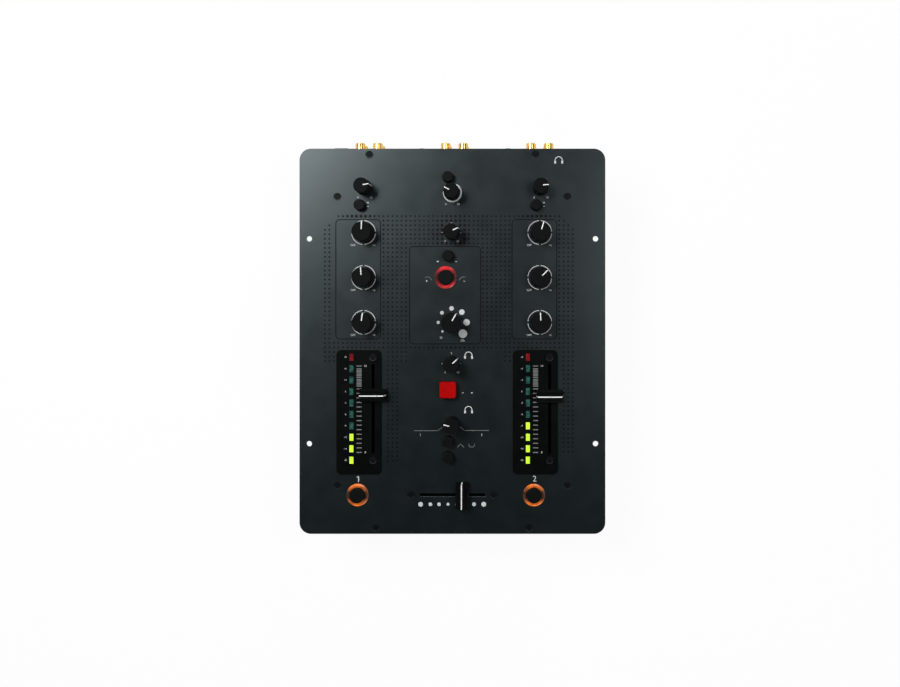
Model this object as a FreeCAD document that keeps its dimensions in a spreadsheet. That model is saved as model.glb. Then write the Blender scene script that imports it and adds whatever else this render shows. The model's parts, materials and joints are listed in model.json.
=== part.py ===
import FreeCAD, Part
import math
import os
import re
from typing import NamedTuple

import Sketcher

# A two-channel tabletop mixer: folded steel case, flat top panel, rotary controls, push buttons, slide faders
# and a rear panel of sockets. +Z is up, +Y points to the rear, and the floor under the feet is z = 0.

# Driving sizes, in millimetres and degrees.
SIZES = {
    # Top panel
    "panel_width": 254,
    "panel_thickness": 1.5,
    "panel_corner": 9.5,
    "rim_hole_radius": 2.25,
    "rim_hole_inset": 8.1,
    "rim_hole_pitch": 170.2,
    # Folded case
    "foot_height": 6,
    "foot_radius": 9,
    "foot_taper": 1,
    "foot_inset_side": 18,
    "foot_inset_end": 24,
    "foot_recess_radius": 4,
    "foot_recess": 2.6,
    "tray_height": 58.5,
    "sheet": 1.2,
    "bend_radius": 1.5,
    "side_overhang": 19,
    "wall_inset": 0.5,
    "side_flange": 16,
    "end_flange": 12,
    "rear_lip": 8.5,
    "lip_screw_inset": 14,
    # Columns, measured from the panel's side edge or from the channel's knob column
    "channel_inset": 53.8,
    "switch_offset": -3.5,
    "ring_offset": -5.5,
    "plate_offset": -4.3,
    "slot_offset": 7.5,
    "meter_offset": -10.5,
    # Rows, each a step from the row in front of it
    "crossfader_inset": 32.4,
    "plate_gap": 17.15,
    "low_gap": 22.95,
    "tone_pitch": 37.3,
    "master_step": 33.1,
    "effects_step": 12.8,
    "rear_inset": 23.8,
    "resonance_step": 18,
    "input_step": 14.7,
    "meter_button_step": 31.9,
    "curve_button_step": 12.8,
    "cue_mix_step": 14.2,
    "cue_button_step": 28.6,
    "phones_step": 21.5,
    # Screws
    "screw_radius": 1.5,
    "screw_head_radius": 3.3,
    "screw_head_height": 1.2,
    "screw_length": 6,
    "screw_play": 0.1,
    "side_screw_inset": 12.5,
    "side_screw_pitch": 240,
    "end_screw_inset": 4.5,
    "front_screw_pitch": 127.2,
    "rear_screw_pitch": 138,
    # Rotary controls
    "board_drop": 10,
    "board_thickness": 1.6,
    "board_margin": 14,
    "pot_width": 9.8,
    "pot_depth": 11,
    "spindle_radius": 3,
    "spindle_play": 0.05,
    "spindle_sink": 4,
    "spindle_rise": 12,
    "spindle_flat": 1.5,
    "bushing_wall": 0.5,
    "bushing_rise": 3.2,
    "hole_play": 0.15,
    "nut_rim": 1.5,
    "nut_height": 2,
    "nut_room": 0.45,
    # Knobs
    "knob_lift": 0.6,
    "knob_wall": 1.2,
    "knob_roof": 2,
    "knob_round": 0.8,
    "hub_wall": 1.5,
    "hub_room": 0.4,
    "small_knob_taper": 0.4,
    "small_knob_height": 16.5,
    "large_knob_base": 8.5,
    "large_knob_taper": 0.5,
    "large_knob_height": 15,
    "pointer_width": 0.9,
    "pointer_depth": 0.35,
    "pointer_start": 1.6,
    # Push buttons
    "button_radius": 4.55,
    "button_rise": 6,
    "button_wall": 1.1,
    "button_roof": 2,
    "button_round": 0.7,
    "button_travel": 2,
    "button_play": 0.3,
    "button_skirt": 0.5,
    "stem_radius": 1.5,
    "stem_play": 0.08,
    "stem_reach": 3.5,
    "switch_width": 8.4,
    "switch_height": 6.5,
    "square_width": 13.3,
    "square_rise": 6.2,
    "square_corner": 1.4,
    "ring_radius": 9.25,
    "ring_bore": 6.55,
    "ring_wall": 1.35,
    "ring_rise": 1.8,
    "ring_bevel": 1.1,
    "ring_drop": 3,
    "ring_cap_rise": 3,
    # Slide faders
    "fader_travel": 60,
    "fader_room": 5,
    "fader_screw_gap": 5.7,
    "cross_travel": 45,
    "cross_room": 2.5,
    "cross_screw_gap": 7.4,
    "fader_rest_left": 11.5,
    "fader_rest_right": 10.6,
    "cross_rest": 8.2,
    "slot_width": 2.4,
    "slot_relief": 1.6,
    "lever_width": 4,
    "lever_thickness": 1.2,
    "lever_grip": 5.5,
    "lever_play": 0.05,
    "frame_width": 13,
    "frame_depth": 14,
    "frame_wall": 1.2,
    "frame_end": 5,
    "carriage_length": 10,
    "carriage_width": 8,
    "carriage_height": 5,
    "carriage_drop": 10,
    "rail_radius": 1,
    "rail_offset": 2.6,
    "rail_play": 0.05,
    "cap_length": 22,
    "cap_top_length": 19.6,
    "cap_width": 10.5,
    "cap_ridge": 4.4,
    "cap_waist": 5.6,
    "cap_foot": 2,
    "cap_waist_height": 4.6,
    "cap_height": 9,
    "cap_lift": 1.2,
    "cap_saddle": 5,
    # Fader plates and meter lights
    "plate_width": 37.3,
    "plate_thickness": 1,
    "plate_corner": 4,
    "plate_front_margin": 17.55,
    "plate_rear_margin": 11.65,
    "meter_count": 10,
    "light_width": 3.2,
    "light_length": 5.7,
    "light_play": 0.1,
    "light_proud": 0.2,
    # Rear sockets
    "socket_reach": 8.5,
    "rca_radius": 4.15,
    "rca_wall": 0.65,
    "rca_chamfer": 0.5,
    "rca_pitch": 15,
    "rca_row_pitch": 14.5,
    "rca_drop": 25,
    "rca_boss_radius": 5.1,
    "rca_boss_rise": 0.6,
    "rca_block_depth": 12,
    "rca_block_rim": 7.75,
    "rca_contact_radius": 1.6,
    "rca_contact_depth": 6,
    "rca_insulator_sink": 1,
    "socket_play": 0.2,
    "xlr_flange_width": 26,
    "xlr_flange_height": 31,
    "xlr_flange_thickness": 2,
    "xlr_corner": 3,
    "xlr_drop": 30,
    "xlr_barrel_radius": 12,
    "xlr_barrel_length": 18,
    "xlr_bore_radius": 9.3,
    "xlr_bore_depth": 15,
    "xlr_pin_radius": 1.2,
    "xlr_pin_length": 11,
    "xlr_pin_side": 3.8,
    "xlr_pin_high": 2.2,
    "xlr_pin_low": -4,
    "xlr_screw_x": 9.5,
    "xlr_screw_z": 12,
    "jack_offset": 24,
    "jack_body": 15,
    "jack_depth": 26,
    "jack_nose_radius": 4.5,
    "jack_nose_rise": 3.5,
    "jack_bore_radius": 3.2,
    "jack_nut_radius": 7,
    "jack_drop": 31,
    "front_jack_height": 26,
    "inlet_drop": 45,
    "inlet_body": 12,
    "inlet_depth": 13,
    "inlet_nose_radius": 4.6,
    "inlet_flange_radius": 6.2,
    "inlet_flange_thickness": 1.5,
    "inlet_bore_radius": 2.85,
    "inlet_bore_depth": 9.5,
    "inlet_pin_radius": 1.05,
    "inlet_pin_length": 8,
    "rocker_drop": 18.5,
    "rocker_width": 11,
    "rocker_half": 8.8,
    "rocker_dip": 1.5,
    "rocker_tilt": 12,
    "rocker_keel": 5,
    "rocker_keel_half": 3,
    "rocker_play": 0.4,
    "rocker_wall": 1,
    "rocker_pin_radius": 1.2,
    "rocker_pin_reach": 0.6,
    "rocker_bezel": 1.6,
    "rocker_lip": 1.2,
    "earth_offset": 19.5,
    "earth_drop": 44.5,
    "earth_head_radius": 3.2,
    "earth_head_height": 2.5,
    "rear_board_depth": 34,
    "rear_board_gap": 1,
}

# Sizes that follow from the driving ones.
FORMULAS = {
    "half_case": "panel_width / 2 - side_overhang",
    "left_column": "channel_inset - panel_width / 2",
    "right_column": "panel_width / 2 - channel_inset",
    "fader_slot": "fader_travel + lever_width + 2 * fader_room",
    "cross_slot": "cross_travel + lever_width + 2 * cross_room",
    "fader_screw_span": "fader_slot + 2 * fader_screw_gap",
    "cross_screw_span": "cross_slot + 2 * cross_screw_gap",
    "plate_length": "plate_front_margin + fader_slot + plate_rear_margin",
    "channel_depth": "crossfader_inset + plate_gap + plate_length + low_gap",
    "panel_depth": "channel_depth + 2 * tone_pitch + master_step + effects_step + rear_inset",
    "front_edge": "-(panel_depth + socket_reach) / 2",
    "rear_edge": "front_edge + panel_depth",
    "panel_middle": "front_edge + panel_depth / 2",
    "front_wall": "front_edge + wall_inset",
    "rear_wall": "rear_edge - wall_inset",
    "tray_end": "rear_wall - sheet",
    "crossfader_row": "front_edge + crossfader_inset",
    "fader_row": "crossfader_row + plate_gap + plate_front_margin + fader_slot / 2",
    "low_row": "front_edge + channel_depth",
    "mid_row": "low_row + tone_pitch",
    "high_row": "mid_row + tone_pitch",
    "level_row": "high_row + tone_pitch",
    "input_row": "level_row - input_step",
    "master_row": "high_row + master_step",
    "effects_row": "master_row + effects_step",
    "resonance_row": "mid_row + resonance_step",
    "meter_button_row": "crossfader_row + meter_button_step",
    "curve_button_row": "meter_button_row + curve_button_step",
    "cue_mix_row": "curve_button_row + cue_mix_step",
    "cue_button_row": "cue_mix_row + cue_button_step",
    "phones_row": "cue_button_row + phones_step",
    "panel_under": "foot_height + tray_height",
    "panel_top": "panel_under + panel_thickness",
    "plate_top": "panel_top + plate_thickness",
    "board_top": "panel_under - board_drop",
    "screw_hole_radius": "screw_radius + screw_play",
    "sink_hole_radius": "screw_head_radius - panel_thickness",
    "bushing_radius": "spindle_radius + bushing_wall",
    "spindle_bore": "spindle_radius + spindle_play",
    "nut_radius": "bushing_radius + nut_rim",
    "hub_radius": "spindle_bore + hub_wall",
    "hub_foot": "bushing_rise + hub_room - knob_lift",
    "bore_top": "spindle_rise + hub_room - knob_lift",
    "small_knob_base": "nut_radius + nut_room + knob_wall",
    "stem_foot": "board_top + switch_height - stem_reach",
    "skirt_height": "panel_under - button_skirt - stem_foot",
    "panel_height": "panel_top - stem_foot",
    "ring_cap_radius": "ring_bore - button_play",
    "ring_cap_top": "ring_rise + ring_cap_rise",
    "ring_sleeve": "ring_bore + ring_wall",
    "ring_seat": "ring_drop + panel_thickness",
    "cap_under": "plate_top + cap_lift",
    "carriage_foot": "panel_under - carriage_drop",
    "lever_length": "cap_under + lever_grip - carriage_foot - carriage_height",
    "rail_height": "carriage_foot + carriage_height / 2",
    "light_pitch": "fader_screw_span / (meter_count - 1)",
    "rca_high": "panel_top - rca_drop",
    "rca_low": "rca_high - rca_row_pitch",
    "rca_seat": "rear_wall + rca_boss_rise",
    "rca_length": "rear_edge + socket_reach - rca_seat",
    "rca_bore": "rca_radius - rca_wall",
    "xlr_column": "right_column / 2",
    "xlr_height": "panel_top - xlr_drop",
    "jack_column": "right_column + jack_offset",
    "jack_height": "panel_top - jack_drop",
    "front_jack_centre": "foot_height + front_jack_height",
    "inlet_column": "left_column - jack_offset",
    "inlet_height": "panel_top - inlet_drop",
    "rocker_height": "panel_top - rocker_drop",
    "rocker_rise": "rocker_dip + rocker_half * tan(rocker_tilt * 1 deg)",
    "rocker_sweep": "sqrt(rocker_half ^ 2 + rocker_rise ^ 2) + rocker_play",
    "rocker_pivot": "rear_wall + rocker_bezel - rocker_dip",
    "earth_height": "panel_top - earth_drop",
}


class Knob(NamedTuple):
    """A rotary control: its column, its row, the family of its moulding and how far it is turned clockwise."""

    column: str
    row: str
    family: str
    turn: float


class Button(NamedTuple):
    """A push button: its column, its row and the family of its cap."""

    column: str
    row: str
    family: str


KNOBS = {
    "knob_level_left": Knob("left_column", "level_row", "small", 79),
    "knob_level_right": Knob("right_column", "level_row", "small", 86),
    "knob_master": Knob("0", "master_row", "small", -64),
    "knob_monitor": Knob("0", "high_row", "small", 64.5),
    "knob_high_left": Knob("left_column", "high_row", "large", 3),
    "knob_mid_left": Knob("left_column", "mid_row", "large", -3),
    "knob_low_left": Knob("left_column", "low_row", "large", 8),
    "knob_high_right": Knob("right_column", "high_row", "large", 17),
    "knob_mid_right": Knob("right_column", "mid_row", "large", 45),
    "knob_low_right": Knob("right_column", "low_row", "large", -3),
    "knob_frequency": Knob("0", "low_row", "large", 29),
    "knob_phones_level": Knob("0", "phones_row", "small", 47),
    "knob_cue_mix": Knob("0", "cue_mix_row", "small", -76),
}

BUTTONS = {
    "button_input_left": Button("left_column + switch_offset", "input_row", "plain"),
    "button_input_right": Button("right_column + switch_offset", "input_row", "plain"),
    "button_effects_loop": Button("switch_offset", "effects_row", "plain"),
    "button_resonance": Button("switch_offset", "resonance_row", "plain"),
    "button_fader_curve": Button("switch_offset", "curve_button_row", "plain"),
    "button_meter_mode": Button("switch_offset", "meter_button_row", "plain"),
    "button_cue_master": Button("switch_offset", "cue_button_row", "square"),
    "button_filter_type": Button("ring_offset", "mid_row", "ring"),
    "button_filter_left": Button("left_column + ring_offset", "crossfader_row", "ring"),
    "button_filter_right": Button("right_column + ring_offset", "crossfader_row", "ring"),
}

CHANNELS = {"left": "left_column", "right": "right_column"}

# Meter lights that glow, counted from the front of each channel.
LIGHTS_LIT = {"left": 3, "right": 4}

# Side, and step along the row, of each socket in a block of four.
RCA_COLUMNS = ("left_column", "0", "right_column")
PLUS_MINUS = (-1, 1)

doc = FreeCAD.newDocument("mixer")
sheet = doc.addObject("Spreadsheet::Sheet", "sizes")
nodes = {}


# The sheet and the links to it

def fill_sheet():
    """Write every size to a cell of its own and give the cell the size's name."""
    cells = {name: str(number) for name, number in SIZES.items()}
    cells.update({name: "=" + text for name, text in FORMULAS.items()})
    for line, (name, text) in enumerate(cells.items(), start=1):
        sheet.set(f"A{line}", name)
        sheet.set(f"B{line}", text)
        sheet.setAlias(f"B{line}", name)
    doc.recompute()


def formula(text):
    """Point each size's name in a formula at its cell."""
    known = SIZES.keys() | FORMULAS.keys()
    return re.sub(r"[a-z_]+", lambda word: f"sizes.{word[0]}" if word[0] in known else word[0], str(text))


def size(name):
    """The number in a size's cell."""
    return float(sheet.get(name))


def bind(item, **links):
    """Tie properties of an object to formulas."""
    for name, text in links.items():
        item.setExpression(name, formula(text))


def place(item, x, y, z, turn=None):
    """Put an object at a point given by formulas, turned by a rotation."""
    if turn is not None:
        item.Placement = FreeCAD.Placement(FreeCAD.Vector(), turn)
    for axis, text in zip("xyz", (x, y, z)):
        item.setExpression(f"Placement.Base.{axis}", formula(text))
    return item


def about_z(angle):
    """A turn about the upright axis."""
    return FreeCAD.Rotation(FreeCAD.Vector(0, 0, 1), angle)


TO_REAR = FreeCAD.Rotation(FreeCAD.Vector(1, 0, 0), -90)
TO_SIDE = FreeCAD.Rotation(FreeCAD.Vector(0, 1, 0), 90)
ACROSS = about_z(90)


# Primitives and booleans

def block(x, y, z, length, width, height):
    """A box centred on x and y that stands on z."""
    item = doc.addObject("Part::Box", "block")
    bind(item, Length=length, Width=width, Height=height)
    return place(item, f"({x}) - ({length}) / 2", f"({y}) - ({width}) / 2", z)


def rod(x, y, z, radius, length, turn=None):
    """A cylinder that starts at a point and runs up, or along the turned axis."""
    item = doc.addObject("Part::Cylinder", "rod")
    bind(item, Radius=radius, Height=length)
    return place(item, x, y, z, turn)


def cone(x, y, z, start_radius, end_radius, length, turn=None):
    """A cone that starts at a point and runs up, or along the turned axis."""
    item = doc.addObject("Part::Cone", "cone")
    bind(item, Radius1=start_radius, Radius2=end_radius, Height=length)
    return place(item, x, y, z, turn)


def hexagon(x, y, z, radius, length, turn=None):
    """A six-sided prism."""
    item = doc.addObject("Part::Prism", "hexagon")
    item.Polygon = 6
    bind(item, Circumradius=radius, Height=length)
    return place(item, x, y, z, turn)


def join(items):
    """One solid from several that touch."""
    item = doc.addObject("Part::MultiFuse", "joined")
    item.Shapes = items
    return item


def cut(base, *tools):
    """A solid with other solids taken out of it."""
    for tool in tools:
        item = doc.addObject("Part::Cut", "cut")
        item.Base = base
        item.Tool = tool
        base = item
    return base


def node(label, items):
    """Keep one solid, or a group of separate ones, under the node's name."""
    item = items
    if isinstance(items, list):
        item = doc.addObject("Part::Compound", label)
        item.Links = items
    item.Label = label
    nodes[label] = item


# Bodies and sketches

def new_body(name):
    """An empty body."""
    return doc.addObject("PartDesign::Body", name)


def new_sketch(body, plane="XY_Plane", lift="0"):
    """A sketch on one of the body's own planes, moved along its normal."""
    planes = {item.Role: item for item in body.Origin.OriginFeatures}
    sketch = body.newObject("Sketcher::SketchObject", "sketch")
    sketch.AttachmentSupport = [(planes[plane], "")]
    sketch.MapMode = "FlatFace"
    sketch.setExpression("AttachmentOffset.Base.z", formula(lift))
    return sketch


def limit(sketch, kind, place_of, text):
    """A constraint whose value is a formula."""
    index = sketch.addConstraint(Sketcher.Constraint(kind, *place_of, 1.0))
    sketch.setExpression(f"Constraints[{index}]", formula(text))


def outline(sketch, corners):
    """A closed outline of straight lines whose corners are formulas."""
    count = len(corners)
    turns = [2 * math.pi * step / count for step in range(count)]
    start = [FreeCAD.Vector(math.cos(turn), math.sin(turn), 0) for turn in turns]
    lines = [sketch.addGeometry(Part.LineSegment(start[i], start[(i + 1) % count])) for i in range(count)]
    for i, line in enumerate(lines):
        sketch.addConstraint(Sketcher.Constraint("Coincident", line, 2, lines[(i + 1) % count], 1))
        limit(sketch, "DistanceX", (-1, 1, line, 1), corners[i][0])
        limit(sketch, "DistanceY", (-1, 1, line, 1), corners[i][1])
    return sketch


def rectangle(sketch, x, y, width, height):
    """A rectangle about a centre."""
    low_x, high_x = f"({x}) - ({width}) / 2", f"({x}) + ({width}) / 2"
    low_y, high_y = f"({y}) - ({height}) / 2", f"({y}) + ({height}) / 2"
    return outline(sketch, [(low_x, low_y), (high_x, low_y), (high_x, high_y), (low_x, high_y)])


def circle(sketch, x, y, radius):
    """A circle about a centre."""
    round_line = Part.Circle(FreeCAD.Vector(0, 0, 0), FreeCAD.Vector(0, 0, 1), 1)
    line = sketch.addGeometry(round_line)
    limit(sketch, "DistanceX", (-1, 1, line, 3), x)
    limit(sketch, "DistanceY", (-1, 1, line, 3), y)
    limit(sketch, "Radius", (line,), radius)
    return sketch


def feature(body, kind, sketch, **links):
    """A feature made from a sketch, with its sizes tied to formulas."""
    item = body.newObject(f"PartDesign::{kind}", kind.lower())
    item.Profile = sketch
    bind(item, **links)
    return item


def pad(body, sketch, length):
    """Material added from a sketch along its normal."""
    return feature(body, "Pad", sketch, Length=length)


def pocket(body, sketch, depth, forward=False):
    """Material taken away behind a sketch, or in front of it. It has to take something."""
    doc.recompute()
    before = body.Shape.Volume
    item = feature(body, "Pocket", sketch, Length=depth)
    item.Reversed = forward
    doc.recompute()
    if body.Shape.Volume > before - 1e-6:
        raise ValueError(f"a pocket of {body.Label} cuts nothing")
    return item


def turned(body, corners):
    """A solid turned about the upright axis, from the corners of half its section."""
    sketch = outline(new_sketch(body, "XZ_Plane"), corners)
    item = feature(body, "Revolution", sketch)
    item.ReferenceAxis = (sketch, ["V_Axis"])
    return item


def fillet(body, base, radius, wanted):
    """Round the edges of a feature that pass a test."""
    doc.recompute()
    names = [f"Edge{i}" for i, edge in enumerate(base.Shape.Edges, start=1) if wanted(edge)]
    item = body.newObject("PartDesign::Fillet", "fillet")
    item.Base = (base, names)
    bind(item, Radius=radius)
    return item


def same(a, b):
    """Whether two lengths are equal for drawing purposes."""
    return abs(a - b) < 1e-4


def upright(edge):
    """Whether an edge is a straight line along the upright axis."""
    if len(edge.Vertexes) != 2:
        return False
    low, high = (corner.Point for corner in edge.Vertexes)
    return same(low.x, high.x) and same(low.y, high.y)


def rim_at(height, radius):
    """A test for round edges of a radius that lie level at a height."""
    def wanted(edge):
        level = all(same(corner.Z, height) for corner in edge.Vertexes)
        return level and isinstance(edge.Curve, Part.Circle) and same(edge.Curve.Radius, radius)
    return wanted


# Top panel

def panel_screw_places():
    """Where the countersunk screws hold the panel down."""
    places = []
    for side in PLUS_MINUS:
        for end in PLUS_MINUS:
            places.append((f"{side} * (half_case - side_screw_inset)",
                           f"panel_middle + {end} * side_screw_pitch / 2"))
        places.append((f"{side} * front_screw_pitch / 2", "front_wall + end_screw_inset"))
        places.append((f"{side} * rear_screw_pitch / 2", "rear_wall - end_screw_inset"))
    return places


def fader_screw_places():
    """Where the fader screws stand, with the height of the sheet that their heads sit on."""
    places = []
    for side in PLUS_MINUS:
        for column in CHANNELS.values():
            places.append((f"{column} + slot_offset", f"fader_row + {side} * fader_screw_span / 2",
                           "plate_top"))
        places.append((f"{side} * cross_screw_span / 2", "crossfader_row", "panel_top"))
    return places


def top_panel():
    """The flat top sheet with a hole for every control."""
    body = new_body("panel_sheet")
    sheet_outline = rectangle(new_sketch(body, lift="panel_under"), "0", "panel_middle",
                              "panel_width", "panel_depth")
    blank = pad(body, sheet_outline, "panel_thickness")
    fillet(body, blank, "panel_corner", upright)
    holes = new_sketch(body, lift="panel_top")
    for knob in KNOBS.values():
        circle(holes, knob.column, knob.row, "bushing_radius + hole_play")
    for button in BUTTONS.values():
        if button.family == "square":
            square_hole = "square_width + 2 * button_play"
            rectangle(holes, button.column, button.row, square_hole, square_hole)
        elif button.family == "ring":
            circle(holes, button.column, button.row, "ring_sleeve + hole_play")
        else:
            circle(holes, button.column, button.row, "button_radius + button_play")
    for side in PLUS_MINUS:
        for end in PLUS_MINUS:
            rim_x = f"{side} * (panel_width / 2 - rim_hole_inset)"
            circle(holes, rim_x, f"panel_middle + {end} * rim_hole_pitch / 2", "rim_hole_radius")
    for x, y in panel_screw_places():
        circle(holes, x, y, "sink_hole_radius")
    for x, y, _ in fader_screw_places():
        circle(holes, x, y, "screw_hole_radius")
    pocket(body, holes, "panel_thickness")
    windows = new_sketch(body, lift="panel_top")
    for column in CHANNELS.values():
        rectangle(windows, f"{column} + slot_offset", "fader_row", "slot_width + slot_relief", "fader_slot")
        strip_length = "fader_screw_span + light_length + slot_relief"
        rectangle(windows, f"{column} + meter_offset", "fader_row", "light_width + slot_relief", strip_length)
    rectangle(windows, "0", "crossfader_row", "cross_slot", "slot_width")
    pocket(body, windows, "panel_thickness")
    sinks = [cone(x, y, "panel_under", "sink_hole_radius", "screw_head_radius", "panel_thickness")
             for x, y in panel_screw_places()]
    node("top_panel", cut(body, *sinks))


def panel_screws():
    """Countersunk screws, flush with the panel, that reach through the case's flanges."""
    screws = []
    for x, y in panel_screw_places():
        head = cone(x, y, "panel_under", "sink_hole_radius - screw_play", "screw_head_radius - screw_play",
                    "panel_thickness")
        shank = rod(x, y, "panel_under - screw_length", "screw_radius", "screw_length")
        screws.append(join([head, shank]))
    node("panel_screws", screws)


# Folded case

def case_foot_places():
    """Where the feet stand under the tray."""
    return [(f"{side} * (half_case - foot_inset_side)",
             f"panel_middle + {end} * (panel_depth / 2 - foot_inset_end)")
            for side in PLUS_MINUS for end in PLUS_MINUS]


def rear_screw_places():
    """Where the rear panel is screwed to the tray's rear lip, as x and z."""
    return [(f"{side} * {x}", "foot_height + rear_lip / 2")
            for side in PLUS_MINUS for x in ("(half_case - lip_screw_inset)", "xlr_column")]


def chassis_tray():
    """The folded tray: floor, three walls, flanges turned in under the panel, and a low rear lip."""
    body = new_body("chassis_tray")
    tray_middle, tray_depth = "(front_wall + tray_end) / 2", "tray_end - front_wall"
    floor_outline = rectangle(new_sketch(body, lift="foot_height"), "0", tray_middle,
                              "2 * half_case", tray_depth)
    blank = pad(body, floor_outline, "tray_height")
    front, floor = size("front_wall"), size("foot_height")

    def outer_bend(edge):
        """The outside corners that the sheet is folded round."""
        points = [corner.Point for corner in edge.Vertexes]
        at_front = all(same(point.y, front) for point in points)
        at_floor = all(same(point.z, floor) for point in points)
        at_rear = all(same(point.y, size("tray_end")) for point in points)
        return (upright(edge) and at_front) or (at_floor and not at_rear)

    fillet(body, blank, "bend_radius", outer_bend)
    mouth_front = "front_wall + end_flange"
    mouth = rectangle(new_sketch(body, lift="panel_under"), "0", f"({mouth_front} + tray_end - sheet) / 2",
                      "2 * (half_case - side_flange)", f"tray_end - sheet - ({mouth_front})")
    pocket(body, mouth, "tray_height - sheet")
    hollow = rectangle(new_sketch(body, lift="foot_height + sheet"), "0", tray_middle,
                       "2 * (half_case - sheet)", f"{tray_depth} - 2 * sheet")
    pocket(body, hollow, "tray_height - 2 * sheet", forward=True)
    gate = rectangle(new_sketch(body, lift="panel_under"), "0", "tray_end - sheet / 2",
                     "2 * (half_case - sheet)", "sheet")
    pocket(body, gate, "tray_height - rear_lip")
    flange_holes = new_sketch(body, lift="panel_under")
    for x, y in panel_screw_places():
        if "rear_wall" not in y:
            circle(flange_holes, x, y, "screw_hole_radius")
    pocket(body, flange_holes, "sheet")
    foot_holes = new_sketch(body, lift="foot_height + sheet")
    for x, y in case_foot_places():
        circle(foot_holes, x, y, "screw_hole_radius")
    pocket(body, foot_holes, "sheet")
    lip_holes = new_sketch(body, "XZ_Plane", lift="-tray_end")
    for x, z in rear_screw_places():
        circle(lip_holes, x, z, "screw_hole_radius")
    pocket(body, lip_holes, "sheet", forward=True)
    jack_hole = circle(new_sketch(body, "XZ_Plane", lift="-front_wall"), "right_column", "front_jack_centre",
                       "jack_nose_radius + socket_play")
    pocket(body, jack_hole, "sheet")
    node("chassis_tray", body)


def feet():
    """Tapered rubber feet, each held by a screw up into the tray."""
    rubber, screws = [], []
    for x, y in case_foot_places():
        body = new_body("foot")
        turned(body, [
            ("screw_hole_radius", "foot_recess"), ("foot_recess_radius", "foot_recess"),
            ("foot_recess_radius", "0"), ("foot_radius - foot_taper", "0"),
            ("foot_radius", "foot_height"), ("screw_hole_radius", "foot_height"),
        ])
        rubber.append(place(body, x, y, "0"))
        head = rod(x, y, "foot_recess - screw_head_height", "screw_head_radius", "screw_head_height")
        shank = rod(x, y, "foot_recess", "screw_radius", "foot_height - foot_recess + screw_length")
        screws.append(join([head, shank]))
    node("rubber_feet", rubber)
    node("foot_screws", screws)


# Rotary controls

def knob_moulding(family):
    """A hollow moulded knob with a hub for the spindle's flat and a groove for its pointer line."""
    body = new_body("moulding")
    base, height = f"{family}_knob_base", f"{family}_knob_height"
    top, ceiling = f"{base} - {family}_knob_taper", f"{height} - knob_roof"
    shell = turned(body, [
        ("0", "bore_top"), ("spindle_bore", "bore_top"), ("spindle_bore", "hub_foot"),
        ("hub_radius", "hub_foot"), ("hub_radius", ceiling), (f"{top} - knob_wall", ceiling),
        (f"{base} - knob_wall", "0"), (base, "0"), (top, height), ("0", height),
    ])
    top_radius = size(base) - size(f"{family}_knob_taper")
    fillet(body, shell, "knob_round", rim_at(size(height), top_radius))
    key_start, key_end = "spindle_flat + spindle_play", "spindle_radius + 2 * spindle_play"
    key = rectangle(new_sketch(body, lift="hub_foot"), f"({key_start} + {key_end}) / 2", "0",
                    f"{key_end} - {key_start}", "2 * spindle_radius - 4 * spindle_play")
    pad(body, key, "bore_top - hub_foot")
    for start, depth in (("pointer_start", "pointer_depth"), (f"{top} - pointer_depth", height)):
        groove = rectangle(new_sketch(body, lift=height), "0", f"({start} + {base} + knob_wall) / 2",
                           "pointer_width", f"{base} + knob_wall - ({start})")
        pocket(body, groove, depth)
    return body


def spindle():
    """A spindle with a flat on the length that the knob grips."""
    body = new_body("spindle")
    length = "spindle_sink + panel_thickness + spindle_rise"
    pad(body, circle(new_sketch(body), "0", "0", "spindle_radius"), length)
    flat = rectangle(new_sketch(body, lift=length), "(spindle_flat + 2 * spindle_radius) / 2", "0",
                     "2 * spindle_radius - spindle_flat", "3 * spindle_radius")
    pocket(body, flat, "spindle_rise - bushing_rise")
    return body


def rotary_controls():
    """Knobs on their spindles, the bodies that carry them, and the nuts that hold the bodies to the panel."""
    bodies, nuts = [], []
    for label, knob in KNOBS.items():
        turn = about_z(-knob.turn)
        moulding = place(knob_moulding(knob.family), knob.column, knob.row, "panel_top + knob_lift", turn)
        shaft = place(spindle(), knob.column, knob.row, "panel_under - spindle_sink", turn)
        node(label, [moulding, shaft])
        case = block(knob.column, knob.row, "board_top", "pot_width", "pot_depth", "board_drop")
        bushing = rod(knob.column, knob.row, "panel_under", "bushing_radius",
                      "panel_thickness + bushing_rise")
        bore_foot = "panel_under - spindle_sink - spindle_play"
        bore = rod(knob.column, knob.row, bore_foot, "spindle_bore",
                   f"panel_top + bushing_rise - ({bore_foot})")
        bodies.append(cut(join([case, bushing]), bore))
        nut = hexagon(knob.column, knob.row, "panel_top", "nut_radius", "nut_height")
        nut_bore = rod(knob.column, knob.row, "panel_top", "bushing_radius + spindle_play", "nut_height")
        nuts.append(cut(nut, nut_bore))
    jack_nut = hexagon("jack_column", "rear_wall", "jack_height", "jack_nut_radius", "nut_height", TO_REAR)
    jack_bore = rod("jack_column", "rear_wall", "jack_height", "jack_nose_radius + spindle_play",
                    "nut_height", TO_REAR)
    node("pot_bodies", bodies)
    node("bushing_nuts", nuts + [cut(jack_nut, jack_bore)])


# Push buttons

def round_cap(radius, rise):
    """A round cap, hollow under its roof, with the stem that presses the switch."""
    body = new_body("cap")
    top = f"panel_height + {rise}"
    ceiling, inside = f"{top} - button_roof", f"{radius} - button_wall"
    cap = turned(body, [
        ("0", "0"), ("stem_radius", "0"), ("stem_radius", ceiling), (inside, ceiling),
        (inside, "skirt_height"), (radius, "skirt_height"), (radius, top), ("0", top),
    ])
    fillet(body, cap, "button_round", rim_at(size("panel_height") + size(rise), size(radius)))
    return body


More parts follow.
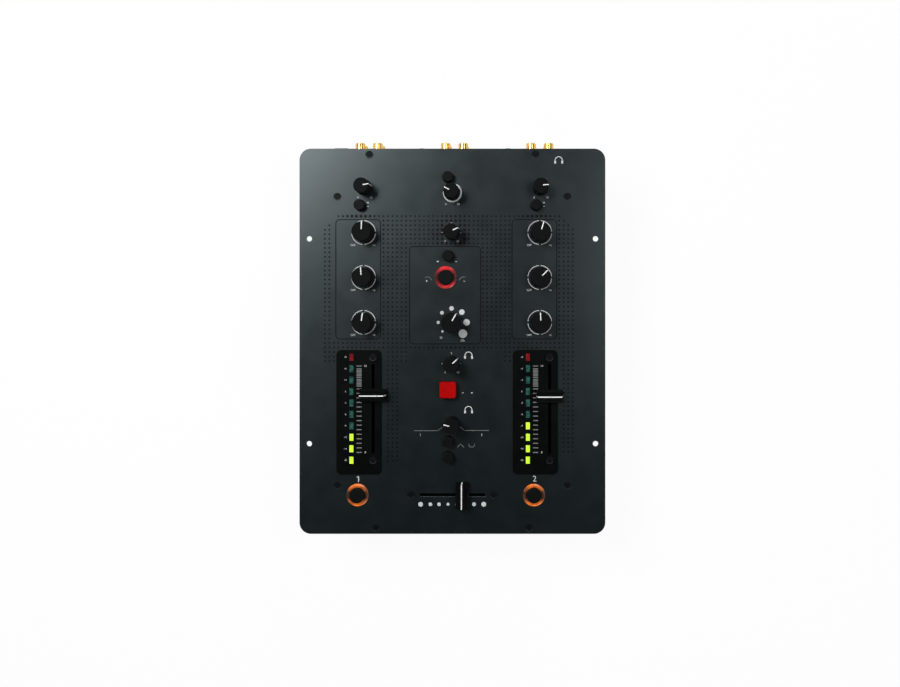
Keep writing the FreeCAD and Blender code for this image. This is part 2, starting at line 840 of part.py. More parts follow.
def square_cap():
    """A square cap, hollow under its roof, with the stem that presses the switch."""
    body = new_body("cap")
    top = "panel_height + square_rise"
    ceiling, inside = f"{top} - button_roof", "square_width - 2 * button_wall"
    face = rectangle(new_sketch(body, lift="skirt_height"), "0", "0", "square_width", "square_width")
    cap = pad(body, face, f"{top} - skirt_height")
    corners = fillet(body, cap, "square_corner", upright)
    top_height = size("panel_height") + size("square_rise")
    fillet(body, corners, "button_round",
           lambda edge: all(same(corner.Z, top_height) for corner in edge.Vertexes))
    recess = rectangle(new_sketch(body, lift="skirt_height"), "0", "0", inside, inside)
    pocket(body, recess, f"{ceiling} - skirt_height", forward=True)
    pad(body, circle(new_sketch(body), "0", "0", "stem_radius"), ceiling)
    return body


def light_ring(x, y):
    """A clear ring with a sleeve through the panel, round an illuminated button."""
    body = new_body("ring")
    lens_top = "ring_seat + ring_rise"
    turned(body, [
        ("ring_bore", "0"), ("ring_sleeve", "0"), ("ring_sleeve", "ring_seat"), ("ring_radius", "ring_seat"),
        ("ring_radius", f"{lens_top} - ring_bevel"), ("ring_radius - ring_bevel", lens_top),
        ("ring_bore", lens_top),
    ])
    return place(body, x, y, "panel_under - ring_drop")


def push_buttons():
    """Caps with their stems, the switches under them, and the rings round the illuminated ones."""
    makers = {
        "plain": lambda: round_cap("button_radius", "button_rise"),
        "ring": lambda: round_cap("ring_cap_radius", "ring_cap_top"),
        "square": square_cap,
    }
    switches, rings = [], {}
    for label, button in BUTTONS.items():
        node(label, place(makers[button.family](), button.column, button.row, "stem_foot"))
        case = block(button.column, button.row, "board_top", "switch_width", "switch_width", "switch_height")
        well_depth = "stem_reach + button_travel + button_skirt"
        well = rod(button.column, button.row, f"board_top + switch_height - ({well_depth})",
                   "stem_radius + stem_play", well_depth)
        switches.append(cut(case, well))
        if button.family == "ring":
            rings[label] = light_ring(button.column, button.row)
    node("switch_bodies", switches)
    node("ring_lens_red", rings.pop("button_filter_type"))
    node("ring_lenses_amber", list(rings.values()))


# Slide faders

def fader_cap():
    """A long cap with a ridge to push, hollowed on both faces for the fingers, and a socket for the lever."""
    body = new_body("fader_cap")
    half = [("cap_width / 2", "0"), ("cap_width / 2", "cap_foot"), ("cap_waist / 2", "cap_waist_height"),
            ("cap_ridge / 2", "cap_height")]
    mirrored = [(f"-({across})", up) for across, up in reversed(half)]
    section = outline(new_sketch(body, "YZ_Plane", lift="-cap_length / 2"), half + mirrored)
    bar = pad(body, section, "cap_length")
    waist, waist_height = size("cap_waist") / 2, size("cap_waist_height")

    def saddle_line(edge):
        """The inner corner along each face."""
        return all(same(abs(end.Y), waist) and same(end.Z, waist_height) for end in edge.Vertexes)

    fillet(body, bar, "cap_saddle", saddle_line)
    ends = new_sketch(body, "XZ_Plane", lift="cap_width")
    for side in PLUS_MINUS:
        outline(ends, [(f"{side} * cap_length / 2", "0"), (f"{side} * cap_length / 2", "cap_height"),
                       (f"{side} * cap_top_length / 2", "cap_height")])
    pocket(body, ends, "2 * cap_width")
    socket = rectangle(new_sketch(body), "0", "0", "lever_thickness + 2 * lever_play",
                       "lever_width + 2 * lever_play")
    pocket(body, socket, "lever_grip + lever_play", forward=True)
    return body


def fader_lever():
    """The carriage that runs on two rails, with the lever that carries the cap."""
    body = new_body("fader_lever")
    pad(body, rectangle(new_sketch(body), "0", "0", "carriage_width", "carriage_length"), "carriage_height")
    bores = new_sketch(body, "XZ_Plane", lift="carriage_length / 2")
    for side in PLUS_MINUS:
        circle(bores, f"{side} * rail_offset", "carriage_height / 2", "rail_radius + rail_play")
    pocket(body, bores, "carriage_length")
    lever = rectangle(new_sketch(body, lift="carriage_height"), "0", "0", "lever_thickness", "lever_width")
    pad(body, lever, "lever_length")
    return body


def fader_frame(slot, travel_room, screw_span):
    """The pressed frame of a fader: an open channel with an end block at each screw, bored for the rails."""
    body = new_body("fader_frame")
    length = f"{screw_span} + 2 * frame_end"
    under = "panel_under - frame_depth"
    pad(body, rectangle(new_sketch(body, lift=under), "0", "0", "frame_width", length), "frame_depth")
    track = rectangle(new_sketch(body, lift="panel_under"), "0", "0", "frame_width - 2 * frame_wall",
                      f"{slot} - lever_width + {travel_room}")
    pocket(body, track, "frame_depth - frame_wall")
    rail_holes = new_sketch(body, "XZ_Plane", lift=f"({length}) / 2")
    for side in PLUS_MINUS:
        circle(rail_holes, f"{side} * rail_offset", "rail_height", "rail_radius + lever_play")
    pocket(body, rail_holes, length)
    screw_holes = new_sketch(body, lift="panel_under")
    for side in PLUS_MINUS:
        circle(screw_holes, "0", f"{side} * ({screw_span}) / 2", "screw_hole_radius")
    pocket(body, screw_holes, "screw_length + screw_play")
    return body


class Fader(NamedTuple):
    """A slide fader: its slot's middle, how far from it the lever rests, its lengths and its turn."""

    x: str
    y: str
    rest_x: str
    rest_y: str
    slot: str
    screw_span: str
    turn: FreeCAD.Rotation


def slide_faders():
    """Frames with rails, carriages with levers, and caps. The crossfader is the same unit turned across."""
    along = about_z(0)
    faders = {
        "crossfader": Fader("0", "crossfader_row", "cross_rest", "0",
                            "cross_slot", "cross_screw_span", ACROSS),
    }
    for side, column in CHANNELS.items():
        faders[f"fader_{side}"] = Fader(f"{column} + slot_offset", "fader_row", "0", f"fader_rest_{side}",
                                        "fader_slot", "fader_screw_span", along)
    frames = []
    for name, fader in faders.items():
        rest_x, rest_y = f"{fader.x} + {fader.rest_x}", f"{fader.y} + {fader.rest_y}"
        node(f"{name}_cap", place(fader_cap(), rest_x, rest_y, "cap_under", fader.turn))
        node(f"{name}_lever", place(fader_lever(), rest_x, rest_y, "carriage_foot", fader.turn))
        frame = fader_frame(fader.slot, "carriage_length", fader.screw_span)
        frames.append(place(frame, fader.x, fader.y, "0", fader.turn))
        rail_length = f"{fader.screw_span} + frame_end"
        for side in PLUS_MINUS:
            if fader.turn is ACROSS:
                rail = rod(f"{fader.x} - ({rail_length}) / 2", f"{fader.y} + {side} * rail_offset",
                           "rail_height", "rail_radius", rail_length, TO_SIDE)
            else:
                rail = rod(f"{fader.x} + {side} * rail_offset", f"{fader.y} - ({rail_length}) / 2",
                           "rail_height", "rail_radius", rail_length, TO_REAR)
            frames.append(rail)
    node("fader_frames", frames)
    screws = []
    for x, y, seat in fader_screw_places():
        head = rod(x, y, seat, "screw_head_radius - screw_play", "screw_head_height")
        shank = rod(x, y, "panel_under - screw_length", "screw_radius",
                    f"{seat} - panel_under + screw_length")
        screws.append(join([head, shank]))
    node("fader_screws", screws)


# Fader plates and meters

def light_step(index):
    """How far a meter light lies behind the middle of the fader's slot."""
    return f"({index} * light_pitch - fader_screw_span / 2)"


def fader_plate(side, column):
    """A plate with rounded corners over a channel's fader and meter, with a window for each light."""
    body = new_body("fader_plate")
    to_meter, to_middle = "meter_offset - slot_offset", "plate_offset - slot_offset"
    blank = pad(body, rectangle(new_sketch(body), to_middle, "(plate_rear_margin - plate_front_margin) / 2",
                                "plate_width", "plate_length"), "plate_thickness")
    fillet(body, blank, "plate_corner", upright)
    openings = rectangle(new_sketch(body, lift="plate_thickness"), "0", "0", "slot_width", "fader_slot")
    for index in range(int(size("meter_count"))):
        rectangle(openings, to_meter, light_step(index), "light_width + 2 * light_play",
                  "light_length + 2 * light_play")
    for end in PLUS_MINUS:
        circle(openings, "0", f"{end} * fader_screw_span / 2", "screw_hole_radius")
    pocket(body, openings, "plate_thickness")
    node(f"fader_plate_{side}", place(body, f"{column} + slot_offset", "fader_row", "panel_top"))


def meters():
    """Plates, and meter lights that stand on the control board and look through the plates."""
    groups = {"peak": [], "idle": [], "lit": []}
    count = int(size("meter_count"))
    for side, column in CHANNELS.items():
        fader_plate(side, column)
        for index in range(count):
            light = block(f"{column} + meter_offset", f"fader_row + {light_step(index)}", "board_top",
                          "light_width", "light_length", "plate_top + light_proud - board_top")
            if index == count - 1:
                groups["peak"].append(light)
            elif index < LIGHTS_LIT[side]:
                groups["lit"].append(light)
            else:
                groups["idle"].append(light)
    for name, lights in groups.items():
        node(f"meter_lights_{name}", lights)


def control_board():
    """The board under the panel that carries the controls, with a window for each fader frame."""
    body = new_body("control_board")
    front, rear = "crossfader_row - board_margin", "effects_row + board_margin"
    blank = rectangle(new_sketch(body, lift="board_top - board_thickness"), "0", f"({front} + {rear}) / 2",
                      "2 * (right_column + board_margin)", f"{rear} - ({front})")
    pad(body, blank, "board_thickness")
    windows = new_sketch(body, lift="board_top")
    room = "2 * slot_relief"
    for column in CHANNELS.values():
        rectangle(windows, f"{column} + slot_offset", "fader_row", f"frame_width + {room}",
                  f"fader_screw_span + 2 * frame_end + {room}")
    rectangle(windows, "0", "crossfader_row", f"cross_screw_span + 2 * frame_end + {room}",
              f"frame_width + {room}")
    pocket(body, windows, "board_thickness")
    node("control_board", body)


# Rear panel and its sockets

def rca_places():
    """The phono sockets, as x and z, in blocks of four."""
    return [(f"{column} + {side} * rca_pitch / 2", row)
            for column in RCA_COLUMNS for side in PLUS_MINUS for row in ("rca_high", "rca_low")]


def xlr_screw_places():
    """Two screws at opposite corners of each balanced socket, as x and z."""
    return [(f"{side} * xlr_column + {end} * xlr_screw_x", f"xlr_height + {end} * xlr_screw_z")
            for side in PLUS_MINUS for end in PLUS_MINUS]


def earth_places():
    """The earth screws beside the channels' phono sockets, as x and z."""
    return [(f"{side} * (right_column - earth_offset)", "earth_height") for side in PLUS_MINUS]


def rear_panel():
    """The rear sheet with a hole for every socket, and a flange turned in under the top panel."""
    body = new_body("rear_panel")
    wall = "-rear_wall"
    pad(body, rectangle(new_sketch(body, "XZ_Plane", lift=wall), "0", "foot_height + tray_height / 2",
                        "2 * half_case", "tray_height"), "sheet")
    flange = rectangle(new_sketch(body, lift="panel_under - sheet"), "0", "rear_wall - end_flange / 2",
                       "2 * (half_case - side_flange - socket_play)", "end_flange")
    pad(body, flange, "sheet")
    holes = new_sketch(body, "XZ_Plane", lift=wall)
    for x, z in rca_places():
        circle(holes, x, z, "rca_boss_radius + socket_play")
    for side in PLUS_MINUS:
        circle(holes, f"{side} * xlr_column", "xlr_height", "xlr_barrel_radius + socket_play")
    for x, z in xlr_screw_places() + rear_screw_places() + earth_places():
        circle(holes, x, z, "screw_hole_radius")
    circle(holes, "jack_column", "jack_height", "jack_nose_radius + socket_play")
    circle(holes, "inlet_column", "inlet_height", "inlet_nose_radius + socket_play")
    rectangle(holes, "inlet_column", "rocker_height",
              "rocker_width + 2 * (rocker_play + rocker_wall + socket_play)",
              "2 * (rocker_sweep + rocker_wall + socket_play)")
    pocket(body, holes, "sheet", forward=True)
    screw_holes = new_sketch(body, lift="panel_under")
    for x, y in panel_screw_places():
        if "rear_wall" in y:
            circle(screw_holes, x, y, "screw_hole_radius")
    pocket(body, screw_holes, "sheet")
    node("rear_panel", body)


def phono_sockets():
    """Blocks of four phono sockets: a block with a boss at each hole, plated shells and insulators."""
    blocks, shells, insulators = [], [], []
    for column in RCA_COLUMNS:
        case = block(column, "tray_end - rca_block_depth / 2", "rca_low - rca_block_rim",
                     "rca_pitch + 2 * rca_block_rim", "rca_block_depth", "rca_row_pitch + 2 * rca_block_rim")
        bosses = [rod(x, "tray_end", z, "rca_boss_radius", "sheet + rca_boss_rise", TO_REAR)
                  for x, z in rca_places() if x.startswith(column)]
        blocks.append(join([case] + bosses))
    for x, z in rca_places():
        barrel = rod(x, "rca_seat", z, "rca_radius", "rca_length - rca_chamfer", TO_REAR)
        mouth = cone(x, "rca_seat + rca_length - rca_chamfer", z, "rca_radius", "rca_radius - rca_chamfer",
                     "rca_chamfer", TO_REAR)
        shells.append(cut(join([barrel, mouth]), rod(x, "rca_seat", z, "rca_bore", "rca_length", TO_REAR)))
        core = rod(x, "rca_seat", z, "rca_bore - spindle_play", "rca_length - rca_insulator_sink", TO_REAR)
        contact = rod(x, "rca_seat + rca_length - rca_insulator_sink - rca_contact_depth", z,
                      "rca_contact_radius", "rca_contact_depth", TO_REAR)
        insulators.append(cut(core, contact))
    node("rca_blocks", blocks)
    node("rca_shells", shells)
    node("rca_insulators", insulators)
    board_width = "2 * (right_column + rca_pitch / 2 + rca_block_rim)"
    node("rear_board", block("0", "tray_end - rear_board_gap - rear_board_depth / 2",
                             "rca_low - rca_block_rim - board_thickness", board_width, "rear_board_depth",
                             "board_thickness"))


def balanced_sockets():
    """Flanged three-pin sockets with a deep round well."""
    shells, pins = [], []
    for side in PLUS_MINUS:
        x = f"{side} * xlr_column"
        body = new_body("xlr_shell")
        face = "-rear_wall - xlr_flange_thickness"
        plate = rectangle(new_sketch(body, "XZ_Plane", lift=face), x, "xlr_height",
                          "xlr_flange_width", "xlr_flange_height")
        flange = pad(body, plate, "xlr_flange_thickness")
        fillet(body, flange, "xlr_corner", along_depth)
        barrel = circle(new_sketch(body, "XZ_Plane", lift="-rear_wall"), x, "xlr_height",
                        "xlr_barrel_radius")
        pad(body, barrel, "xlr_barrel_length")
        well = circle(new_sketch(body, "XZ_Plane", lift=face), x, "xlr_height", "xlr_bore_radius")
        pocket(body, well, "xlr_bore_depth", forward=True)
        screw_holes = new_sketch(body, "XZ_Plane", lift=face)
        for screw_x, screw_z in xlr_screw_places():
            if screw_x.startswith(x):
                circle(screw_holes, screw_x, screw_z, "screw_hole_radius")
        pocket(body, screw_holes, "xlr_flange_thickness", forward=True)
        shells.append(body)
        floor = "rear_wall + xlr_flange_thickness - xlr_bore_depth"
        pin_places = (("xlr_pin_side", "xlr_pin_high"), ("-xlr_pin_side", "xlr_pin_high"),
                      ("0", "xlr_pin_low"))
        for pin_x, pin_z in pin_places:
            pins.append(rod(f"{x} + {pin_x}", floor, f"xlr_height + {pin_z}", "xlr_pin_radius",
                            "xlr_pin_length", TO_REAR))
    node("xlr_shells", shells)
    node("xlr_pins", pins)


def along_depth(edge):
    """Whether an edge is a straight line from front to rear."""
    if len(edge.Vertexes) != 2:
        return False
    near, far = (corner.Point for corner in edge.Vertexes)
    return same(near.x, far.x) and same(near.z, far.z)


def headphone_jacks():
    """A jack behind the rear panel, held by its nut, and one flush in the front wall."""
    rear_case = block("jack_column", "tray_end - jack_depth / 2", "jack_height - jack_body / 2", "jack_body",
                      "jack_depth", "jack_body")
    rear_nose = rod("jack_column", "tray_end", "jack_height", "jack_nose_radius",
                    "sheet + jack_nose_rise", TO_REAR)
    rear_bore = rod("jack_column", "tray_end - jack_depth + sheet", "jack_height", "jack_bore_radius",
                    "jack_depth + jack_nose_rise", TO_REAR)
    front_case = block("right_column", "front_wall + sheet + jack_depth / 2",
                       "front_jack_centre - jack_body / 2", "jack_body", "jack_depth", "jack_body")
    front_nose = rod("right_column", "front_wall", "front_jack_centre", "jack_nose_radius", "sheet", TO_REAR)
    front_bore = rod("right_column", "front_wall", "front_jack_centre", "jack_bore_radius",
                     "jack_depth", TO_REAR)
    rear_jack = cut(join([rear_case, rear_nose]), rear_bore)
    front_jack = cut(join([front_case, front_nose]), front_bore)
    node("phone_jacks", [rear_jack, front_jack])


def supply_inlet():
    """The round inlet for the supply lead, with its contact pin standing in the bore."""
    x, z = "inlet_column", "inlet_height"
    case = block(x, "tray_end - inlet_depth / 2", f"{z} - inlet_body / 2",
                 "inlet_body", "inlet_depth", "inlet_body")
    nose = rod(x, "tray_end", z, "inlet_nose_radius", "sheet", TO_REAR)
    flange = rod(x, "rear_wall", z, "inlet_flange_radius", "inlet_flange_thickness", TO_REAR)
    bore_floor = "rear_wall + inlet_flange_thickness - inlet_bore_depth"
    bore = rod(x, bore_floor, z, "inlet_bore_radius", "inlet_bore_depth", TO_REAR)
    pin = rod(x, f"{bore_floor} - sheet", z, "inlet_pin_radius", "inlet_pin_length + sheet", TO_REAR)
    node("dc_inlet", join([cut(join([case, nose, flange]), bore), pin]))


def power_switch():
    """A rocker on two stub pins, in a frame with a bezel outside the rear panel."""
    x, z = "inlet_column", "rocker_height"
    well_width, well_height = "rocker_width + 2 * rocker_play", "2 * rocker_sweep"
    well_depth = "rocker_keel + rocker_dip + rocker_play + rocker_wall"
    case_depth = f"{well_depth} + rocker_wall"
    case = block(x, f"rear_wall + rocker_bezel - ({case_depth}) / 2", f"{z} - rocker_sweep - rocker_wall",
                 f"{well_width} + 2 * rocker_wall", case_depth, f"{well_height} + 2 * rocker_wall")
    bezel = block(x, "rear_wall + rocker_bezel / 2", f"{z} - rocker_sweep - rocker_wall - rocker_lip",
                  f"{well_width} + 2 * (rocker_wall + rocker_lip)", "rocker_bezel",
                  f"{well_height} + 2 * (rocker_wall + rocker_lip)")
    well = block(x, f"rear_wall + rocker_bezel - ({well_depth}) / 2", f"{z} - rocker_sweep",
                 well_width, well_depth, well_height)
    seat_length = "rocker_width + 2 * (rocker_play + rocker_pin_reach)"
    seats = rod(f"{x} - ({seat_length}) / 2", "rocker_pivot", z, "rocker_pin_radius + spindle_play",
                seat_length, TO_SIDE)
    node("rocker_frame", cut(join([case, bezel]), well, seats))
    body = new_body("power_rocker")
    half = [("rocker_dip", "0"), ("rocker_rise", "rocker_half"), ("0", "rocker_half"),
            ("-rocker_keel", "rocker_keel_half")]
    mirrored = [(across, f"-({up})") for across, up in reversed(half[1:])]
    section = outline(new_sketch(body, "YZ_Plane", lift="-rocker_width / 2"), half + mirrored)
    pad(body, section, "rocker_width")
    pin_length = "rocker_width + 2 * rocker_pin_reach + rocker_play"
    pins = circle(new_sketch(body, "YZ_Plane", lift=f"-({pin_length}) / 2"), "0", "0", "rocker_pin_radius")
    pad(body, pins, pin_length)
    tilt = FreeCAD.Rotation(FreeCAD.Vector(1, 0, 0), size("rocker_tilt"))
    node("power_rocker", place(body, x, "rocker_pivot", z, tilt))


def rear_screws():
    """Pan-head screws of the rear panel and the balanced sockets, and the larger earth screws."""
    small, earth = [], []
    seats = [(place_of, "rear_wall") for place_of in rear_screw_places()]
    seats += [(place_of, "rear_wall + xlr_flange_thickness") for place_of in xlr_screw_places()]
    for (x, z), seat in seats:
        head = rod(x, seat, z, "screw_head_radius - screw_play", "screw_head_height", TO_REAR)
        shank = rod(x, "rear_wall - screw_length", z, "screw_radius",
                    f"{seat} - rear_wall + screw_length", TO_REAR)
        small.append(join([head, shank]))
    for x, z in earth_places():
        head = rod(x, "rear_wall", z, "earth_head_radius", "earth_head_height", TO_REAR)
        shank = rod(x, "rear_wall - screw_length", z, "screw_radius", "screw_length", TO_REAR)
        earth.append(join([head, shank]))
    node("rear_screws", small)
    node("ground_screws", earth)


def check_and_write():
    """Stop at anything that failed, then write each node's solids to a file of its own."""
    doc.recompute()
    broken = [item.Name for item in doc.Objects if "Invalid" in item.State or "Error" in item.State]
    if broken:
        raise ValueError(f"failed objects: {broken}")
    for label, item in nodes.items():
        if item.Shape.isNull() or not item.Shape.isValid():
            raise ValueError(f"{label} has no valid shape")
    os.makedirs("parts", exist_ok=True)
    for label, item in nodes.items():
        item.Shape.exportStep(f"parts/{label}.step")
        print(f"{label}: {len(item.Shape.Solids)} solids")


fill_sheet()
top_panel()
panel_screws()
chassis_tray()
feet()
rotary_controls()
push_buttons()
slide_faders()
meters()
control_board()
rear_panel()
phono_sockets()
balanced_sockets()
headphone_jacks()
supply_inlet()
power_switch()
rear_screws()
check_and_write()
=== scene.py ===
"""Looks, prints and staging for a two-channel tabletop mixer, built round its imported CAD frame."""

import json
import logging
import math
from dataclasses import dataclass, field
from enum import Enum
from typing import Callable, Iterable, Sequence

import bpy
from mathutils import Matrix, Vector

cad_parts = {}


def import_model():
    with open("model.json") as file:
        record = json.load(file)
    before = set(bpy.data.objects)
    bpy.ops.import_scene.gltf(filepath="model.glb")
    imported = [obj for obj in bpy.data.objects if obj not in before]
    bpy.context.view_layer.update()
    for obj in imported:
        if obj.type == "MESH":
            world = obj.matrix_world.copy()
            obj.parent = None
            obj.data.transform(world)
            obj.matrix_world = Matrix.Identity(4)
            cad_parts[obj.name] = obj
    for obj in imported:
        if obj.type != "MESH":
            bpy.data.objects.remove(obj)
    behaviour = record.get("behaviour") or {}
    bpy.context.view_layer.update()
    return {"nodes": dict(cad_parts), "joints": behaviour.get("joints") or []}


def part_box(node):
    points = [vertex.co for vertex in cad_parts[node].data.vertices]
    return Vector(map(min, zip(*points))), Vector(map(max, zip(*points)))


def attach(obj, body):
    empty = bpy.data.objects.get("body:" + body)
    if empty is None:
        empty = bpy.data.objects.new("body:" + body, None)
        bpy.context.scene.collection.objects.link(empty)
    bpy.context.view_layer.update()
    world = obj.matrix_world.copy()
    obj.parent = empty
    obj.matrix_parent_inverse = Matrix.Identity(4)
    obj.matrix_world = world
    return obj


LOG = logging.getLogger("mixer")
MM = 0.001
Colour = tuple[float, float, float]
Point = tuple[float, float]
Area = tuple[float, float, float, float]

# Most values of a noise lie between these two.
NOISE_DARK = 0.3
NOISE_BRIGHT = 0.7
# A brushed grain is this many times longer than wide, and a wide patch this many times a grain.
BRUSH_STRETCH = 24.0
WIDE_PATCH = 40
# A face looks along an axis if its normal has at least this share of it.
FACING = 0.9
# Places that agree to this many decimals of a metre are one place.
WELD_DIGITS = 6


class Grain(Enum):
    """How a finish's texture lies on the surface."""

    EVEN = "even"
    BRUSHED = "brushed"


class NodeTree:
    """A shader's node tree, with short ways to add nodes and join them."""

    def __init__(self, tree: bpy.types.NodeTree) -> None:
        """Take hold of a tree."""
        self.tree = tree

    def add(self, kind: str, **settings: object) -> bpy.types.Node:
        """Add a node and set its own properties.

        Args:
            kind: The node's type name.
            settings: Properties of the node, by name.

        Returns:
            The new node.
        """
        node = self.tree.nodes.new(kind)
        for name, value in settings.items():
            setattr(node, name, value)
        return node

    def join(self, source: bpy.types.NodeSocket, target: bpy.types.NodeSocket) -> None:
        """Link one socket to another."""
        self.tree.links.new(source, target)

    def math(self, operation: str, first: object, second: object) -> bpy.types.NodeSocket:
        """Work out one value from two, each a socket or a number.

        Args:
            operation: The name of the operation.
            first: The first value.
            second: The second value.

        Returns:
            The socket of the result.
        """
        node = self.add("ShaderNodeMath", operation=operation)
        for socket, value in zip(node.inputs, (first, second)):
            if isinstance(value, bpy.types.NodeSocket):
                self.join(value, socket)
            else:
                socket.default_value = value
        return node.outputs[0]

    def part(self, vector: bpy.types.NodeSocket, axis: str) -> bpy.types.NodeSocket:
        """One coordinate of a vector.

        Args:
            vector: The socket of the vector.
            axis: The coordinate's letter.

        Returns:
            The socket of the coordinate.
        """
        parts = self.add("ShaderNodeSeparateXYZ")
        self.join(vector, parts.inputs["Vector"])
        return parts.outputs[axis]

    def remap(self, value: bpy.types.NodeSocket, source: Point, target: Point) -> bpy.types.NodeSocket:
        """Stretch one range of a value over another.

        Args:
            value: The socket of the value.
            source: The range that the value has.
            target: The range that it gets.

        Returns:
            The socket of the stretched value.
        """
        node = self.add("ShaderNodeMapRange")
        for end, (low, high) in (("From", source), ("To", target)):
            node.inputs[f"{end} Min"].default_value = low
            node.inputs[f"{end} Max"].default_value = high
        self.join(value, node.inputs["Value"])
        return node.outputs["Result"]

    def seen(self) -> bpy.types.NodeSocket:
        """Tell what looks at a surface.

        Returns:
            The socket that is 1 where the camera, gloss or glass looks, and 0 for light that spreads.
        """
        rays = self.add("ShaderNodeLightPath").outputs
        found = rays["Is Camera Ray"]
        for name in ("Is Glossy Ray", "Is Transmission Ray"):
            found = self.math("MAXIMUM", found, rays[name])
        return found


class Graph(NodeTree):
    """The node tree of one new material, which holds a principled shader."""

    def __init__(self, name: str) -> None:
        """Start the material.

        Args:
            name: The material's name.
        """
        self.material = bpy.data.materials.new(name)
        self.material.use_nodes = True
        super().__init__(self.material.node_tree)
        self.shader = self.tree.nodes["Principled BSDF"]
        self.place = self.add("ShaderNodeTexCoord").outputs["Object"]

    def noise(self, grain: float, stretch: float = 1.0, detail: float = 2.0) -> bpy.types.NodeSocket:
        """A noise over the object's own coordinates.

        Args:
            grain: The size of a grain, in metres.
            stretch: How many times longer a grain is from side to side.
            detail: How many finer layers the noise has.

        Returns:
            The socket of the noise's value.
        """
        mapping = self.add("ShaderNodeMapping")
        mapping.inputs["Scale"].default_value = (1 / (grain * stretch), 1 / grain, 1 / grain)
        noise = self.add("ShaderNodeTexNoise")
        noise.inputs["Scale"].default_value = 1.0
        noise.inputs["Detail"].default_value = detail
        self.join(self.place, mapping.inputs["Vector"])
        self.join(mapping.outputs["Vector"], noise.inputs["Vector"])
        return noise.outputs["Fac"]

    def blend(self, factor: bpy.types.NodeSocket, low: Colour, high: Colour) -> bpy.types.NodeSocket:
        """A colour between two, by a factor.

        Args:
            factor: The socket of the factor.
            low: The colour at 0.
            high: The colour at 1.

        Returns:
            The socket of the colour.
        """
        mix = self.add("ShaderNodeMix", data_type="RGBA")
        colours = [socket for socket in mix.inputs if socket.type == "RGBA"]
        for socket, colour in zip(colours, (low, high)):
            socket.default_value = (*colour, 1.0)
        self.join(factor, mix.inputs["Factor"])
        return [socket for socket in mix.outputs if socket.type == "RGBA"][0]

    def spread(self, noise: bpy.types.NodeSocket, low: float, high: float) -> bpy.types.NodeSocket:
        """Stretch a noise over a range, from its dark grains to its bright ones."""
        return self.remap(noise, (NOISE_DARK, NOISE_BRIGHT), (low, high))


@dataclass(frozen=True)
class Finish:
    """A surface finish: two close shades, a roughness that varies, and a fine relief."""

    name: str
    colour: Colour
    second: Colour
    roughness: float
    variation: float = 0.05
    grain: float = 0.6 * MM
    relief: float = 0.02 * MM
    metallic: float = 0.0
    specular: float = 0.5
    sheen: Colour = (1.0, 1.0, 1.0)
    texture: Grain = Grain.EVEN

    def material(self) -> bpy.types.Material:
        """The finish's material, made when it is first asked for."""
        return bpy.data.materials.get(self.name) or self.build()

    def build(self) -> bpy.types.Material:
        """Make the finish's material.

        Returns:
            The new material.
        """
        graph = Graph(self.name)
        stretch = BRUSH_STRETCH if self.texture is Grain.BRUSHED else 1.0
        fine = graph.noise(self.grain, stretch)
        wide = graph.noise(self.grain * WIDE_PATCH)
        shader = graph.shader
        shades = graph.blend(graph.spread(fine, 0.0, 1.0), self.colour, self.second)
        graph.join(shades, shader.inputs["Base Color"])
        rough = graph.spread(wide, self.roughness - self.variation, self.roughness + self.variation)
        graph.join(rough, shader.inputs["Roughness"])
        shader.inputs["Metallic"].default_value = self.metallic
        shader.inputs["Specular IOR Level"].default_value = self.specular
        shader.inputs["Specular Tint"].default_value = (*self.sheen, 1.0)
        bump = graph.add("ShaderNodeBump")
        bump.inputs["Distance"].default_value = self.relief
        graph.join(fine, bump.inputs["Height"])
        graph.join(bump.outputs["Normal"], shader.inputs["Normal"])
        self.finish_off(graph)
        return graph.material

    def finish_off(self, graph: Graph) -> None:
        """Add what a special finish has beyond the plain one.

        Args:
            graph: The material's graph.
        """


@dataclass(frozen=True)
class LitFinish(Finish):
    """A lens with a lamp under it, brighter in some places than in others."""

    glow: Colour = (1.0, 1.0, 1.0)
    dim: float = 0.0
    bright: float = 1.0
    patch: float = 6 * MM

    def finish_off(self, graph: Graph) -> None:
        """Let the lens glow in soft patches.

        Args:
            graph: The material's graph.
        """
        graph.shader.inputs["Emission Color"].default_value = (*self.glow, 1.0)
        patches = graph.spread(graph.noise(self.patch, detail=0.0), self.dim, self.bright)
        graph.join(patches, graph.shader.inputs["Emission Strength"])


@dataclass(frozen=True)
class RingFinish(LitFinish):
    """A ring-shaped lens with two lamps under it, at its front and its rear."""

    middle: float = 0.0
    inner: float = 2.5 * MM
    outer: float = 9.0 * MM
    faint: float = 0.45
    strong: float = 1.15

    def finish_off(self, graph: Graph) -> None:
        """Let the lens glow most over its lamps.

        Args:
            graph: The material's graph.
        """
        graph.shader.inputs["Emission Color"].default_value = (*self.glow, 1.0)
        ahead = graph.math("SUBTRACT", graph.part(graph.place, "Y"), self.middle)
        away = graph.math("ABSOLUTE", ahead, 0.0)
        level = graph.remap(away, (self.inner, self.outer), (self.dim, self.bright))
        patches = graph.spread(graph.noise(self.patch, detail=0.0), self.faint, self.strong)
        strength = graph.math("MULTIPLY", level, patches)
        graph.join(strength, graph.shader.inputs["Emission Strength"])


@dataclass(frozen=True)
class StackedFinish(Finish):
    """A finish that changes colour above a height, for the two rows of sockets."""

    height: float = 0.0
    upper: Colour = (1.0, 1.0, 1.0)

    def finish_off(self, graph: Graph) -> None:
        """Colour what lies above the height.

        Args:
            graph: The material's graph.
        """
        above = graph.math("GREATER_THAN", graph.part(graph.place, "Z"), self.height)
        graph.join(graph.blend(above, self.colour, self.upper), graph.shader.inputs["Base Color"])


